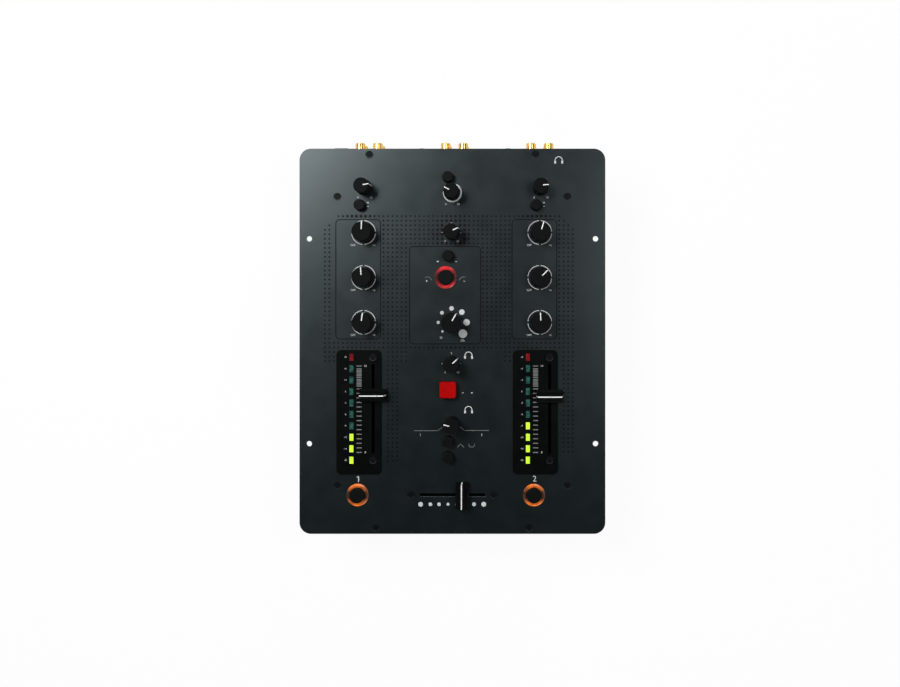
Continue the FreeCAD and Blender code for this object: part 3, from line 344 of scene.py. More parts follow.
PANEL_COAT = Finish("panel_coat", (0.0020, 0.0042, 0.0047), (0.0028, 0.0052, 0.0057), 0.31, variation=0.02,
                    grain=0.35 * MM, relief=0.008 * MM, sheen=(0.82, 0.96, 1.0))
CASE_COAT = Finish("case_coat", (0.012, 0.013, 0.013), (0.018, 0.019, 0.019), 0.5, grain=0.5 * MM,
                   relief=0.04 * MM)
PLATE_COAT = Finish("plate_coat", (0.0012, 0.0018, 0.0016), (0.0020, 0.0027, 0.0024), 0.34, grain=0.3 * MM,
                    relief=0.006 * MM, specular=0.06)
KNOB_PLASTIC = Finish("knob_plastic", (0.0014, 0.0018, 0.0019), (0.0024, 0.0029, 0.0030), 0.58, specular=0.06)
CAP_PLASTIC = Finish("cap_plastic", (0.0012, 0.0014, 0.0015), (0.0020, 0.0023, 0.0024), 0.5, specular=0.05)
BUTTON_PLASTIC = Finish("button_plastic", (0.0016, 0.0021, 0.0022), (0.0026, 0.0033, 0.0034), 0.48,
                        specular=0.07)
RED_PLASTIC = LitFinish("red_plastic", (0.32, 0.0010, 0.0010), (0.38, 0.0015, 0.0015), 0.4,
                        relief=0.005 * MM, specular=0.05, glow=(1.0, 0.0, 0.0), dim=0.02, bright=0.05)
PEAK_LENS = LitFinish("peak_lens", (0.06, 0.004, 0.006), (0.09, 0.006, 0.009), 0.2, relief=0.004 * MM,
                      glow=(1.0, 0.02, 0.03), dim=0.05, bright=0.18)
IDLE_LENS = LitFinish("idle_lens", (0.010, 0.040, 0.034), (0.016, 0.055, 0.046), 0.2, relief=0.004 * MM,
                      glow=(0.05, 0.35, 0.25), dim=0.0, bright=0.2, patch=2.5 * MM)
LIT_LENS = LitFinish("lit_lens", (0.30, 0.50, 0.03), (0.36, 0.56, 0.04), 0.2, relief=0.004 * MM,
                     glow=(0.55, 0.85, 0.03), dim=0.5, bright=0.9, patch=5 * MM)
SCREW_BLACK = Finish("screw_oxide", (0.0018, 0.0026, 0.0032), (0.0028, 0.0038, 0.0046), 0.5, specular=0.07)
# A painted highlight, for the lower arc of the screw heads' rims.
SCREW_GLINT = Finish("screw_glint", (0.012, 0.015, 0.016), (0.020, 0.024, 0.025), 0.4, specular=0.3)
PLATED_STEEL = Finish("plated_steel", (0.52, 0.53, 0.54), (0.60, 0.61, 0.62), 0.30, metallic=1.0,
                      texture=Grain.BRUSHED)
GOLD_PLATE = Finish("gold_plate", (0.75, 0.46, 0.13), (0.82, 0.54, 0.18), 0.22, relief=0.004 * MM,
                    metallic=1.0)
LAMINATE = Finish("laminate", (0.010, 0.060, 0.030), (0.014, 0.075, 0.038), 0.45)
SOFT_RUBBER = Finish("soft_rubber", (0.010, 0.010, 0.010), (0.016, 0.016, 0.016), 0.8, relief=0.05 * MM)
SOCKET_PLASTIC = Finish("socket_plastic", (0.010, 0.010, 0.011), (0.015, 0.015, 0.016), 0.5)
WHITE_INK = Finish("white_ink", (0.46, 0.48, 0.48), (0.54, 0.56, 0.56), 0.6, relief=0.003 * MM)
# Grey print, also used as a painted highlight along the lip of the crossfader's slot.
GREY_INK_AND_HIGHLIGHT = Finish("grey_ink_and_highlight", (0.14, 0.145, 0.145), (0.17, 0.175, 0.175), 0.6, relief=0.003 * MM)
# Dark print, also used as painted shade in the shape of the screw heads' cross recesses.
DARK_INK_AND_SHADE = Finish("dark_ink_and_shade", (0.0008, 0.0011, 0.0012), (0.0014, 0.0018, 0.0019), 0.45, relief=0.003 * MM,
                  specular=0.10)
LINE_PAINT = Finish("line_paint", (0.74, 0.75, 0.74), (0.80, 0.81, 0.80), 0.5, relief=0.004 * MM)


def deselect_all() -> None:
    """Leave nothing selected, in object mode."""
    if bpy.context.object and bpy.context.object.mode != "OBJECT":
        bpy.ops.object.mode_set(mode="OBJECT")
    bpy.ops.object.select_all(action="DESELECT")


def pick(piece: bpy.types.Object) -> bpy.types.Object:
    """Make one object the only selected one.

    Args:
        piece: The object.

    Returns:
        The same object.
    """
    deselect_all()
    piece.select_set(True)
    bpy.context.view_layer.objects.active = piece
    return piece


def edit_faces(piece: bpy.types.Object, wanted: Callable[[bpy.types.MeshPolygon], bool]) -> None:
    """Enter edit mode with only the wanted faces selected.

    Args:
        piece: The object to edit.
        wanted: A test of one face.
    """
    pick(piece)
    bpy.ops.object.mode_set(mode="EDIT")
    bpy.ops.mesh.select_mode(type="FACE")
    bpy.ops.mesh.select_all(action="DESELECT")
    bpy.ops.object.mode_set(mode="OBJECT")
    for face in piece.data.polygons:
        face.select = wanted(face)
    bpy.ops.object.mode_set(mode="EDIT")


def leave_edit() -> None:
    """Go back to object mode."""
    bpy.ops.object.mode_set(mode="OBJECT")


def apply_place(piece: bpy.types.Object) -> bpy.types.Object:
    """Move an object's place, turn and scale into its mesh.

    Args:
        piece: The object.

    Returns:
        The same object.
    """
    pick(piece)
    bpy.ops.object.transform_apply(location=True, rotation=True, scale=True)
    return piece


def add_bar(low: Sequence[float], high: Sequence[float]) -> bpy.types.Object:
    """A square-edged bar between two corners.

    Args:
        low: The lowest corner, in metres.
        high: The highest corner, in metres.

    Returns:
        The new object.
    """
    deselect_all()
    middle = [(a + b) / 2 for a, b in zip(low, high)]
    span = [b - a for a, b in zip(low, high)]
    bpy.ops.mesh.primitive_cube_add(size=1.0, location=middle, scale=span)
    return apply_place(bpy.context.object)


def add_disc(centre: Sequence[float], radius: float, height: float, sides: int = 32) -> bpy.types.Object:
    """A round disc that stands on a point.

    Args:
        centre: The middle of its lower face.
        radius: Its radius.
        height: Its height.
        sides: How many sides its rim has.

    Returns:
        The new object.
    """
    deselect_all()
    middle = (centre[0], centre[1], centre[2] + height / 2)
    bpy.ops.mesh.primitive_cylinder_add(vertices=sides, radius=radius, depth=height, location=middle)
    return apply_place(bpy.context.object)


def thicken(piece: bpy.types.Object, thickness: float) -> bpy.types.Object:
    """Give a flat sheet of faces a thickness above itself.

    Args:
        piece: The object.
        thickness: The thickness to add.

    Returns:
        The same object.
    """
    pick(piece)
    solid = piece.modifiers.new("thickness", "SOLIDIFY")
    solid.thickness = thickness
    solid.offset = 1.0
    bpy.ops.object.modifier_apply(modifier=solid.name)
    return piece


def soften(piece: bpy.types.Object, width: float, segments: int = 2) -> bpy.types.Object:
    """Round the sharp edges of an object.

    Args:
        piece: The object.
        width: The width of the rounding.
        segments: How many faces the rounding has.

    Returns:
        The same object.
    """
    pick(piece)
    bevel = piece.modifiers.new("rounding", "BEVEL")
    bevel.width = width
    bevel.segments = segments
    bevel.limit_method = "ANGLE"
    bpy.ops.object.modifier_apply(modifier=bevel.name)
    return piece


def copy_of(piece: bpy.types.Object, place: Matrix) -> bpy.types.Object:
    """A copy of an object with a mesh of its own, moved by a matrix.

    Args:
        piece: The object to copy.
        place: How the copy is turned and moved.

    Returns:
        The copy.
    """
    twin = piece.copy()
    twin.data = piece.data.copy()
    twin.data.transform(place)
    bpy.context.scene.collection.objects.link(twin)
    return twin


def drop(piece: bpy.types.Object) -> None:
    """Remove a pattern piece that has been copied."""
    bpy.data.objects.remove(piece)


def merge(pieces: Iterable[bpy.types.Object]) -> bpy.types.Object:
    """Join several objects in one.

    Args:
        pieces: The objects.

    Returns:
        The joined object.
    """
    found = list(pieces)
    deselect_all()
    for piece in found:
        piece.select_set(True)
    bpy.context.view_layer.objects.active = found[0]
    if len(found) > 1:
        bpy.ops.object.join()
    return bpy.context.object


def settle(piece: bpy.types.Object, name: str, finish: Finish, body: str,
           angle: float = 35.0) -> bpy.types.Object:
    """Name, shade and dress a finished piece, and let it ride on a body.

    Args:
        piece: The object.
        name: Its name.
        finish: Its finish.
        body: The body that carries it.
        angle: The angle in degrees above which an edge stays sharp.

    Returns:
        The same object.
    """
    pick(piece)
    piece.name = name
    piece.data.name = name
    bpy.ops.object.shade_smooth_by_angle(angle=math.radians(angle))
    piece.data.materials.clear()
    piece.data.materials.append(finish.material())
    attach(piece, body)
    LOG.info("%s: %d faces on %s", name, len(piece.data.polygons), body)
    return piece


def dress(nodes: dict[str, bpy.types.Object], names: Iterable[str], finish: Finish) -> None:
    """Give CAD nodes a finish.

    Args:
        nodes: The frame's nodes, by name.
        names: The nodes to dress.
        finish: The finish.
    """
    for name in names:
        mesh = nodes[name].data
        mesh.materials.clear()
        mesh.materials.append(finish.material())
        LOG.info("%s wears %s", name, finish.name)


def islands(piece: bpy.types.Object) -> list[tuple[Vector, Vector]]:
    """The boxes of the separate solids of an object's mesh.

    Args:
        piece: The object.

    Returns:
        The lowest and highest corner of each solid, in no fixed order.
    """
    mesh = piece.data
    first_at: dict[tuple[float, ...], int] = {}
    parent = [first_at.setdefault(tuple(round(value, WELD_DIGITS) for value in vertex.co), vertex.index)
              for vertex in mesh.vertices]

    def root(index: int) -> int:
        """Find the vertex that stands for a whole solid.

        Args:
            index: A vertex of the solid.

        Returns:
            The vertex that stands for it.
        """
        while parent[index] != index:
            parent[index] = parent[parent[index]]
            index = parent[index]
        return index

    for edge in mesh.edges:
        first, second = (root(index) for index in edge.vertices)
        parent[first] = second
    groups: dict[int, list[Vector]] = {}
    for vertex in mesh.vertices:
        groups.setdefault(root(vertex.index), []).append(piece.matrix_world @ vertex.co)
    boxes = []
    for points in groups.values():
        low, high = (Vector([limit(values) for values in zip(*points)]) for limit in (min, max))
        boxes.append((low, high))
    return boxes


@dataclass
class Frame:
    """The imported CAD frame: its nodes, and the places that prints and details are measured from."""

    nodes: dict[str, bpy.types.Object]
    joints: list[dict]

    def middle(self, node: str) -> Vector:
        """The middle of a node's box."""
        low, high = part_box(node)
        return (low + high) / 2

    def top(self, node: str) -> float:
        """The height of a node's highest point."""
        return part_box(node)[1].z

    def joint(self, body: str) -> dict:
        """The joint that carries a body."""
        return next(joint for joint in self.joints if joint["child"] == body)

    def axis(self, knob: str) -> Vector:
        """A point on the axis that a knob turns about."""
        return Vector(self.joint(knob)["pos_m"])

    def turn(self, knob: str) -> float:
        """How far a knob is turned clockwise from straight up, in degrees: the middle of its range."""
        return sum(self.joint(knob)["range_deg"]) / 2


@dataclass(frozen=True)
class Lamp:
    """A square lamp that looks at the middle of the floor, in metres and watts."""

    name: str
    place: tuple[float, float, float]
    span: float
    power: float


# A soft lamp at the rear left, weak ones at both sides, and low ones that light the front and the rear.
LAMPS = (
    Lamp("key", (-0.61, 0.55, 1.25), 0.55, 17.0),
    Lamp("side", (-0.78, 0.02, 1.20), 0.55, 1.4),
    Lamp("fill", (0.58, 0.14, 1.20), 0.5, 4.5),
    Lamp("front", (0.70, -1.60, 0.65), 0.9, 12.0),
    Lamp("rear", (0.60, 1.60, 0.65), 0.9, 10.0),
)


@dataclass
class Studio:
    """The floor, the lamps and the camera."""

    frame: Frame
    lens_height: float = 760 * MM
    axis_right: float = 56.1 * MM
    axis_rear: float = 32.6 * MM
    picture: tuple[int, int] = (900, 687)
    pixel: float = 0.8306 * MM
    panel_pixel: Point = (452.4, 341.25)
    sensor: float = 36.0
    nearest: float = 0.01
    floor_span: float = 8.0
    floor_glow: float = 0.94
    floor_roughness: float = 0.9
    floor_patch: float = 0.4
    floor_dark: Colour = (0.80, 0.80, 0.80)
    floor_light: Colour = (0.84, 0.84, 0.84)
    room_level: float = 0.02
    ceiling_start: float = 0.25
    ceiling_full: float = 0.55

    def build(self) -> None:
        """Set up the world, the floor, the lamps and the camera."""
        self.build_world()
        self.build_floor()
        self.build_lamps()
        self.build_camera()
        bpy.context.scene.view_settings.view_transform = "Standard"

    def build_world(self) -> None:
        """A dim room whose walls the camera, gloss and glass see as white, under a dark ceiling."""
        world = bpy.data.worlds.new("studio")
        bpy.context.scene.world = world
        world.use_nodes = True
        nodes = NodeTree(world.node_tree)
        background = nodes.tree.nodes["Background"]
        direction = nodes.add("ShaderNodeTexCoord").outputs["Generated"]
        walls = nodes.remap(nodes.part(direction, "Z"), (self.ceiling_start, self.ceiling_full), (1.0, 0.0))
        white = nodes.math("MULTIPLY", nodes.seen(), walls)
        level = nodes.remap(white, (0.0, 1.0), (self.room_level, 1.0))
        nodes.join(level, background.inputs["Strength"])
        background.inputs["Color"].default_value = (1.0, 1.0, 1.0, 1.0)

    def build_floor(self) -> None:
        """A pale floor, near white to the camera, that still takes a soft shadow."""
        deselect_all()
        bpy.ops.mesh.primitive_plane_add(size=self.floor_span)
        floor = bpy.context.object
        floor.name = "floor"
        graph = Graph("floor_pale")
        graph.shader.inputs["Roughness"].default_value = self.floor_roughness
        shade = graph.spread(graph.noise(self.floor_patch), 0.0, 1.0)
        tone = graph.blend(shade, self.floor_dark, self.floor_light)
        graph.join(tone, graph.shader.inputs["Base Color"])
        glow = graph.add("ShaderNodeEmission")
        mix = graph.add("ShaderNodeMixShader")
        share = graph.math("MULTIPLY", graph.seen(), self.floor_glow)
        for source, target in zip((share, graph.shader.outputs[0], glow.outputs[0]), mix.inputs):
            graph.join(source, target)
        graph.join(mix.outputs[0], graph.tree.nodes["Material Output"].inputs["Surface"])
        floor.data.materials.append(graph.material)

    def build_lamps(self) -> None:
        """Set up every lamp, turned to the middle of the floor."""
        for plan in LAMPS:
            deselect_all()
            bpy.ops.object.light_add(type="AREA", location=plan.place)
            lamp = bpy.context.object
            lamp.name = plan.name
            lamp.data.size = plan.span
            lamp.data.energy = plan.power
            lamp.rotation_euler = (-Vector(plan.place)).to_track_quat("-Z", "Y").to_euler()

    def build_camera(self) -> None:
        """A camera straight above, off to the right and the rear, shifted to the photograph's framing."""
        panel = self.frame.middle("top_panel")
        deselect_all()
        eye_height = self.frame.top("top_panel") + self.lens_height
        place = (panel.x + self.axis_right, panel.y + self.axis_rear, eye_height)
        bpy.ops.object.camera_add(location=place, rotation=(0.0, 0.0, 0.0))
        camera = bpy.context.object
        camera.name = "camera"
        width, height = self.picture
        camera.data.sensor_width = self.sensor
        camera.data.lens = self.sensor * self.lens_height / (width * self.pixel)
        axis_x = self.panel_pixel[0] + self.axis_right / self.pixel
        axis_y = self.panel_pixel[1] - self.axis_rear / self.pixel
        camera.data.shift_x = (width / 2 - axis_x) / width
        camera.data.shift_y = -(height / 2 - axis_y) / width
        camera.data.clip_start = self.nearest
        bpy.context.scene.camera = camera


@dataclass
class Case:
    """The panel, the folded case, its feet and its boards."""

    frame: Frame

    def build(self) -> None:
        """Dress the sheet metal and what is screwed to it."""
        nodes = self.frame.nodes
        dress(nodes, ["top_panel"], PANEL_COAT)
        dress(nodes, ["chassis_tray", "rear_panel"], CASE_COAT)
        dress(nodes, ["rubber_feet"], SOFT_RUBBER)
        dress(nodes, ["control_board", "rear_board"], LAMINATE)
        dress(nodes, ["panel_screws", "fader_screws", "rear_screws"], SCREW_BLACK)
        dress(nodes, ["foot_screws", "ground_screws"], PLATED_STEEL)


@dataclass
class Knobs:
    """The rotary controls: hollow mouldings, and a white pointer let into each groove."""

    frame: Frame
    width: float = 0.9 * MM
    depth: float = 0.35 * MM
    start: float = 1.6 * MM
    lift: float = 1.0 * MM
    play: float = 0.01 * MM
    edge: float = 0.12 * MM
    large_radius: float = 7.5 * MM
    large_taper: float = 0.5 * MM
    small_taper: float = 0.4 * MM

    def build(self) -> None:
        """Dress the knobs and give each a pointer."""
        names = [name for name in self.frame.nodes if name.startswith("knob_")]
        dress(self.frame.nodes, names, KNOB_PLASTIC)
        dress(self.frame.nodes, ["pot_bodies", "bushing_nuts"], PLATED_STEEL)
        for name in names:
            self.build_pointer(name)

    def build_pointer(self, name: str) -> None:
        """Model the pointer of one knob: a bar along the top, bent down the side.

        Args:
            name: The knob.
        """
        low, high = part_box(name)
        base_radius = (high.x - low.x) / 2
        taper = self.small_taper if base_radius < self.large_radius else self.large_taper
        foot = self.frame.top("top_panel") + self.lift
        bend = base_radius - taper - self.depth
        half = self.width / 2 - self.play
        bar = add_bar((-half, self.start, high.z - self.depth), (half, bend, high.z))
        edit_faces(bar, lambda face: face.normal.y > FACING)
        bpy.ops.mesh.extrude_region_move(TRANSFORM_OT_translate={"value": (0.0, self.depth, 0.0)})
        leave_edit()
        edit_faces(bar, lambda face: face.normal.z < -FACING and face.center.y > bend)
        fall = foot - high.z + self.depth
        bpy.ops.mesh.extrude_region_move(TRANSFORM_OT_translate={"value": (0.0, 0.0, fall)})
        bpy.ops.transform.translate(value=(0.0, taper, 0.0))
        leave_edit()
        axis = self.frame.axis(name)
        turn = Matrix.Rotation(-math.radians(self.frame.turn(name)), 4, "Z")
        bar.data.transform(Matrix.Translation((axis.x, axis.y, 0.0)) @ turn)
        soften(bar, self.edge)
        settle(bar, name.replace("knob", "pointer"), LINE_PAINT, name)


@dataclass
class Buttons:
    """The push buttons and the light rings."""

    frame: Frame

    def build(self) -> None:
        """Dress the caps, the switches and the rings."""
        nodes = self.frame.nodes
        red = "button_cue_master"
        dress(nodes, [name for name in nodes if name.startswith("button_") and name != red], BUTTON_PLASTIC)
        dress(nodes, [red], RED_PLASTIC)
        dress(nodes, ["switch_bodies"], SOCKET_PLASTIC)
        red_lens = RingFinish("red_lens", (0.05, 0.010, 0.012), (0.08, 0.014, 0.016), 0.2, relief=0.004 * MM,
                              glow=(1.0, 0.025, 0.032), dim=0.01, bright=0.78,
                              middle=self.frame.middle("ring_lens_red").y)
        amber_lens = RingFinish("amber_lens", (0.03, 0.014, 0.008), (0.05, 0.022, 0.010), 0.2,
                                relief=0.004 * MM, glow=(1.0, 0.20, 0.012), dim=0.02, bright=1.0,
                                patch=4 * MM, middle=self.frame.middle("ring_lenses_amber").y)
        dress(nodes, ["ring_lens_red"], red_lens)
        dress(nodes, ["ring_lenses_amber"], amber_lens)


@dataclass
class Faders:
    """The slide faders, their plates and their meter lights."""

    frame: Frame
    line_width: float = 0.9 * MM
    line_height: float = 0.06 * MM
    ridge_inset: float = 1.2 * MM
    foot_gap: float = 1.0 * MM

    def build(self) -> None:
        """Dress the faders and paint a line along each cap."""
        nodes = self.frame.nodes
        caps = ("fader_left_cap", "fader_right_cap", "crossfader_cap")
        dress(nodes, caps, CAP_PLASTIC)
        dress(nodes, ["fader_left_lever", "fader_right_lever", "crossfader_lever"], PLATED_STEEL)
        dress(nodes, ["fader_frames"], SCREW_BLACK)
        dress(nodes, ["fader_plate_left", "fader_plate_right"], PLATE_COAT)
        dress(nodes, ["meter_lights_peak"], PEAK_LENS)
        dress(nodes, ["meter_lights_idle"], IDLE_LENS)
        dress(nodes, ["meter_lights_lit"], LIT_LENS)
        for cap in caps:
            self.build_line(cap)

    def build_line(self, cap: str) -> None:
        """Model the white line over a cap's ridge and down its ends.

        Args:
            cap: The cap.
        """
        low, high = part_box(cap)
        middle = (low + high) / 2
        across = (high.x - low.x) > (high.y - low.y)
        half_length = max(high.x - low.x, high.y - low.y) / 2
        half_top = half_length - self.ridge_inset
        half_width = self.line_width / 2
        fall = high.z - low.z - self.foot_gap
        bar = add_bar((-half_top, -half_width, 0.0), (half_top, half_width, self.line_height))
        place = Matrix.Translation((middle.x, middle.y, high.z))
        if not across:
            place = place @ Matrix.Rotation(math.radians(90), 4, "Z")
        ends = [self.build_end(side, half_top, half_length, fall, high.z - low.z) for side in (-1, 1)]
        line = merge([bar] + ends)
        line.data.transform(place)
        settle(line, cap.replace("cap", "line"), LINE_PAINT, cap.replace("_cap", ""))

    def build_end(self, side: int, half_top: float, half_base: float, fall: float,
                  height: float) -> bpy.types.Object:
        """Model the stretch of a line that runs down one end of a cap.

        Args:
            side: 1 or -1, the end of the cap.
            half_top: Half the length of the ridge.
            half_base: Half the length of the foot.
            fall: How far down the line runs.
            height: The cap's height.

        Returns:
            The new object.
        """
        slope = (half_base - half_top) / height
        half = self.line_width / 2
        inner = side * half_top
        outer = side * (half_top + self.line_height)
        bar = add_bar((min(inner, outer), -half, -fall), (max(inner, outer), half, self.line_height))
        edit_faces(bar, lambda face: face.normal.z < -FACING)
        bpy.ops.transform.translate(value=(side * slope * fall, 0.0, 0.0))
        leave_edit()
        return bar


class Mark(Enum):
    """The kinds of mark that a print copies from a pattern piece."""

    DOT = "dot"
    BAR = "bar"


@dataclass
class Ink:
    """A print in one colour on one flat surface, gathered mark by mark; some hold painted highlights and
    painted shade. Its sizes are in millimetres.
    """

    name: str
    finish: Finish
    origin: Vector
    film: float = 0.03
    lip: float = 0.06
    rise: float = 0.1
    overlap: float = 0.5
    dot_sides: int = 16
    ring_sides: int = 72
    corner_steps: int = 6
    figure_steps: int = 3
    figure_share: float = 0.7
    weld: float = 0.0005
    marks: list[bpy.types.Object] = field(default_factory=list)
    patterns: dict[Mark, bpy.types.Object] = field(default_factory=dict)

    def pattern(self, kind: Mark) -> bpy.types.Object:
        """The unit mark that the copies of one kind are made from, with its upper edge drawn in.

        Args:
            kind: The kind of mark.

        Returns:
            The pattern piece.
        """
        if kind not in self.patterns:
            if kind is Mark.DOT:
                piece = add_disc((0, 0, 0), 1.0, 1.0, self.dot_sides)
            else:
                piece = add_bar((-0.5, -0.5, 0), (0.5, 0.5, 1.0 - self.rise))
            edit_faces(piece, lambda face: face.normal.z > FACING)
            bpy.ops.mesh.inset(thickness=self.lip)
            bpy.ops.transform.translate(value=(0.0, 0.0, self.rise))
            leave_edit()
            self.patterns[kind] = piece
        return self.patterns[kind]

    def dot(self, x: float, y: float, radius: float) -> None:
        """Print a round dot."""
        size = Matrix.Diagonal((radius, radius, self.film, 1.0))
        self.marks.append(copy_of(self.pattern(Mark.DOT), Matrix.Translation((x, y, 0.0)) @ size))

    def bar(self, start: Point, end: Point, width: float) -> None:
        """Print a straight stroke.

        Args:
            start: Where it begins.
            end: Where it ends.
            width: Its width.
        """
        run = Vector(end) - Vector(start)
        turn = Matrix.Rotation(math.atan2(run.y, run.x), 4, "Z")
        size = Matrix.Diagonal((run.length + width * self.overlap, width, self.film, 1.0))
        middle = (Vector(start) + Vector(end)) / 2
        self.marks.append(copy_of(self.pattern(Mark.BAR), Matrix.Translation((*middle, 0.0)) @ turn @ size))

    def stroke(self, points: Sequence[Point], width: float) -> None:
        """Print a line through several points."""
        for start, end in zip(points, points[1:]):
            self.bar(start, end, width)

    def ring(self, x: float, y: float, inner: float, outer: float, kept: Callable[[float], bool],
             lean: Point = (0.0, 0.0)) -> None:
        """Print a ring with gaps.

        Args:
            x: Its middle.
            y: Its middle.
            inner: Its inner radius.
            outer: Its outer radius.
            kept: A test of the clockwise angle from straight up, in degrees, where the ring is printed.
            lean: How far the inner edge is moved, so that the ring thickens on the other side.
        """
        deselect_all()
        bpy.ops.mesh.primitive_circle_add(vertices=self.ring_sides, radius=outer, fill_type="NGON")
        piece = bpy.context.object
        edit_faces(piece, lambda face: True)
        bpy.ops.mesh.inset(thickness=outer - inner)
        bpy.ops.transform.translate(value=(*lean, 0.0))
        leave_edit()

        def unwanted(face: bpy.types.MeshPolygon) -> bool:
            """Whether a face is the hole in the middle, or lies in a gap."""
            angle = math.degrees(math.atan2(face.center.x, face.center.y)) % 360
            return len(face.vertices) > 4 or not kept(angle)

        edit_faces(piece, unwanted)
        bpy.ops.mesh.delete(type="FACE")
        leave_edit()
        self.keep_sheet(piece, x, y)

    def outline(self, low: Point, high: Point, radius: float, width: float) -> None:
        """Print a rectangle's outline with round corners.

        Args:
            low: Its lower left corner.
            high: Its upper right corner.
            radius: The radius of its corners.
            width: The width of the line.
        """
        deselect_all()
        bpy.ops.mesh.primitive_plane_add(size=1.0)
        piece = bpy.context.object
        piece.scale = (high[0] - low[0], high[1] - low[1], 1.0)
        apply_place(piece)
        edit_faces(piece, lambda face: True)
        bpy.ops.mesh.bevel(affect="VERTICES", offset=radius, segments=self.corner_steps)
        leave_edit()
        edit_faces(piece, lambda face: True)
        bpy.ops.mesh.inset(thickness=width)
        bpy.ops.mesh.delete(type="FACE")
        leave_edit()
        self.keep_sheet(piece, (low[0] + high[0]) / 2, (low[1] + high[1]) / 2)

    def keep_sheet(self, piece: bpy.types.Object, x: float, y: float) -> None:
        """Give a flat mark the film's thickness and put it in its place.

        Args:
            piece: The mark.
            x: Its middle.
            y: Its middle.
        """
        thicken(piece, self.film)
        piece.data.transform(Matrix.Translation((x, y, 0.0)))
        self.marks.append(piece)

    def numeral(self, text: str, x: float, y: float, height: float) -> None:
        """Print a number or a plain mark of a dial.

        Args:
            text: What is printed.
            x: Its middle.
            y: Its middle.
            height: The height of a figure.
        """
        deselect_all()
        bpy.ops.object.text_add()
        piece = bpy.context.object
        piece.data.body = text
        piece.data.size = height / self.figure_share
        piece.data.align_x = "CENTER"
        piece.data.align_y = "CENTER"
        piece.data.resolution_u = self.figure_steps
        piece.data.extrude = self.film / 2
        bpy.ops.object.convert(target="MESH")
        piece = bpy.context.object
        edit_faces(piece, lambda face: True)
        bpy.ops.mesh.select_all(action="SELECT")
        bpy.ops.mesh.remove_doubles(threshold=self.weld)
        leave_edit()
        piece.data.transform(Matrix.Translation((x, y, self.film / 2)))
        self.marks.append(piece)

    def press(self) -> None:
        """Join the marks, put them on the surface and let them ride on the case."""
        for piece in self.patterns.values():
            drop(piece)
        sheet = merge(self.marks)
        sheet.data.transform(Matrix.Translation(self.origin) @ Matrix.Scale(MM, 4))
        settle(sheet, self.name, self.finish, "chassis")


@dataclass
class Screws:
    """A painted highlight on the lower arc of each rim, and painted shade in the shape of the cross recess,
    on the screw heads that face up.
    """

    frame: Frame
    # The painted highlight on each rim lies between these shares of the head's radius, and between these
    # clockwise angles from straight up, on the lower side.
    glint_inner: float = 0.80
    glint_outer: float = 0.94
    glint_start: float = 105.0
    glint_end: float = 255.0
    # How far the painted shade of the cross recess reaches, and how wide its bars are, as shares of the
    # head's radius.
    recess: float = 0.50
    cross: float = 0.26

    def build(self) -> None:
        """Give every head its painted rim highlight and its painted recess shade, height by height."""
        for node in ("panel_screws", "fader_screws"):
            boxes = islands(self.frame.nodes[node])
            for number, height in enumerate(sorted({round(high.z, WELD_DIGITS) for _, high in boxes})):
                heads = [box for box in boxes if round(box[1].z, WELD_DIGITS) == height]
                self.build_heads(f"{node}_{number}", height, heads)

    def build_heads(self, name: str, height: float, heads: list[tuple[Vector, Vector]]) -> None:
        """Model the painted rim highlights and painted recess shades of the heads at one height.

        Args:
            name: How the new pieces' names begin.
            height: The height of the heads' upper faces.
            heads: The lowest and highest corner of each screw.
        """
        rim_glints = Ink(f"{name}_rims", SCREW_GLINT, Vector((0.0, 0.0, height)))
        recess_shades = Ink(f"{name}_recesses", DARK_INK_AND_SHADE, Vector((0.0, 0.0, height)))
        for low, high in heads:
            x, y = (low.x + high.x) / 2 / MM, (low.y + high.y) / 2 / MM
            radius = (high.x - low.x) / 2 / MM
            # A painted highlight on the lower arc of the rim.
            rim_glints.ring(x, y, self.glint_inner * radius, self.glint_outer * radius,
                      lambda angle: self.glint_start < angle < self.glint_end)
            # A dark cross of painted shade stands where the recess is; the head has no hollow.
            reach = self.recess * radius
            recess_shades.bar((x - reach, y), (x + reach, y), self.cross * radius)
            recess_shades.bar((x, y - reach), (x, y + reach), self.cross * radius)
        rim_glints.press()
        recess_shades.press()


# The areas of the dots and the areas that they leave bare: left, low, right and high, in millimetres.
DOTTED_AREAS = ((-106, -6, 103, 105), (-106, -17, -95, -4), (-57, -20, -36, -4), (-57, -101, -44, -4),
                (42, -20, 50, -4), (88, -95, 103, -4))
BARE_AREAS = ((-98.5, 0.2, -58.0, 102.6), (48.0, 0.2, 88.4, 102.6), (-37.2, -3.8, 25.0, 80.3),
              (-97.5, -112, -57.2, -5.5), (48.8, -112, 89.2, -5.5))


def within(areas: Iterable[Area], x: float, y: float) -> bool:
    """Whether a place lies inside one of several areas."""
    return any(left < x < right and low < y < high for left, low, right, high in areas)


@dataclass
class DotField:
    """The dark dots between the controls, larger where a control is near. Its sizes are in millimetres."""

    frame: Frame
    ink: Ink
    pitch: Point = (3.742, 3.76)
    first: Point = (-105.9, 103.9)
    columns: int = 56
    rows: int = 55
    small: float = 0.80
    large: float = 1.38
    near: float = 8.5
    fading: float = 0.06
    corner_cut: int = 3

    def build(self) -> None:
        """Print every dot of the grid that isn't left out."""
        controls = [self.frame.middle(name) - self.ink.origin for name in self.frame.nodes
                    if name.startswith(("knob_", "button_"))]
        places = [(control.x / MM, control.y / MM) for control in controls]
        for row in range(self.rows):
            for column in range(self.columns):
                x, y = self.first[0] + column * self.pitch[0], self.first[1] - row * self.pitch[1]
                corner = min(column, self.columns - 1 - column) + row
                distance = min(math.dist((x, y), place) for place in places)
                if corner >= self.corner_cut and distance > self.near and self.is_dotted(x, y):
                    size = self.large - self.fading * (distance - self.near)
                    self.ink.dot(x, y, max(size, self.small))

    def is_dotted(self, x: float, y: float) -> bool:
        """Whether the dots cover a place, measured from the middle of the panel."""
        return within(DOTTED_AREAS, x, y) and not within(BARE_AREAS, x, y)


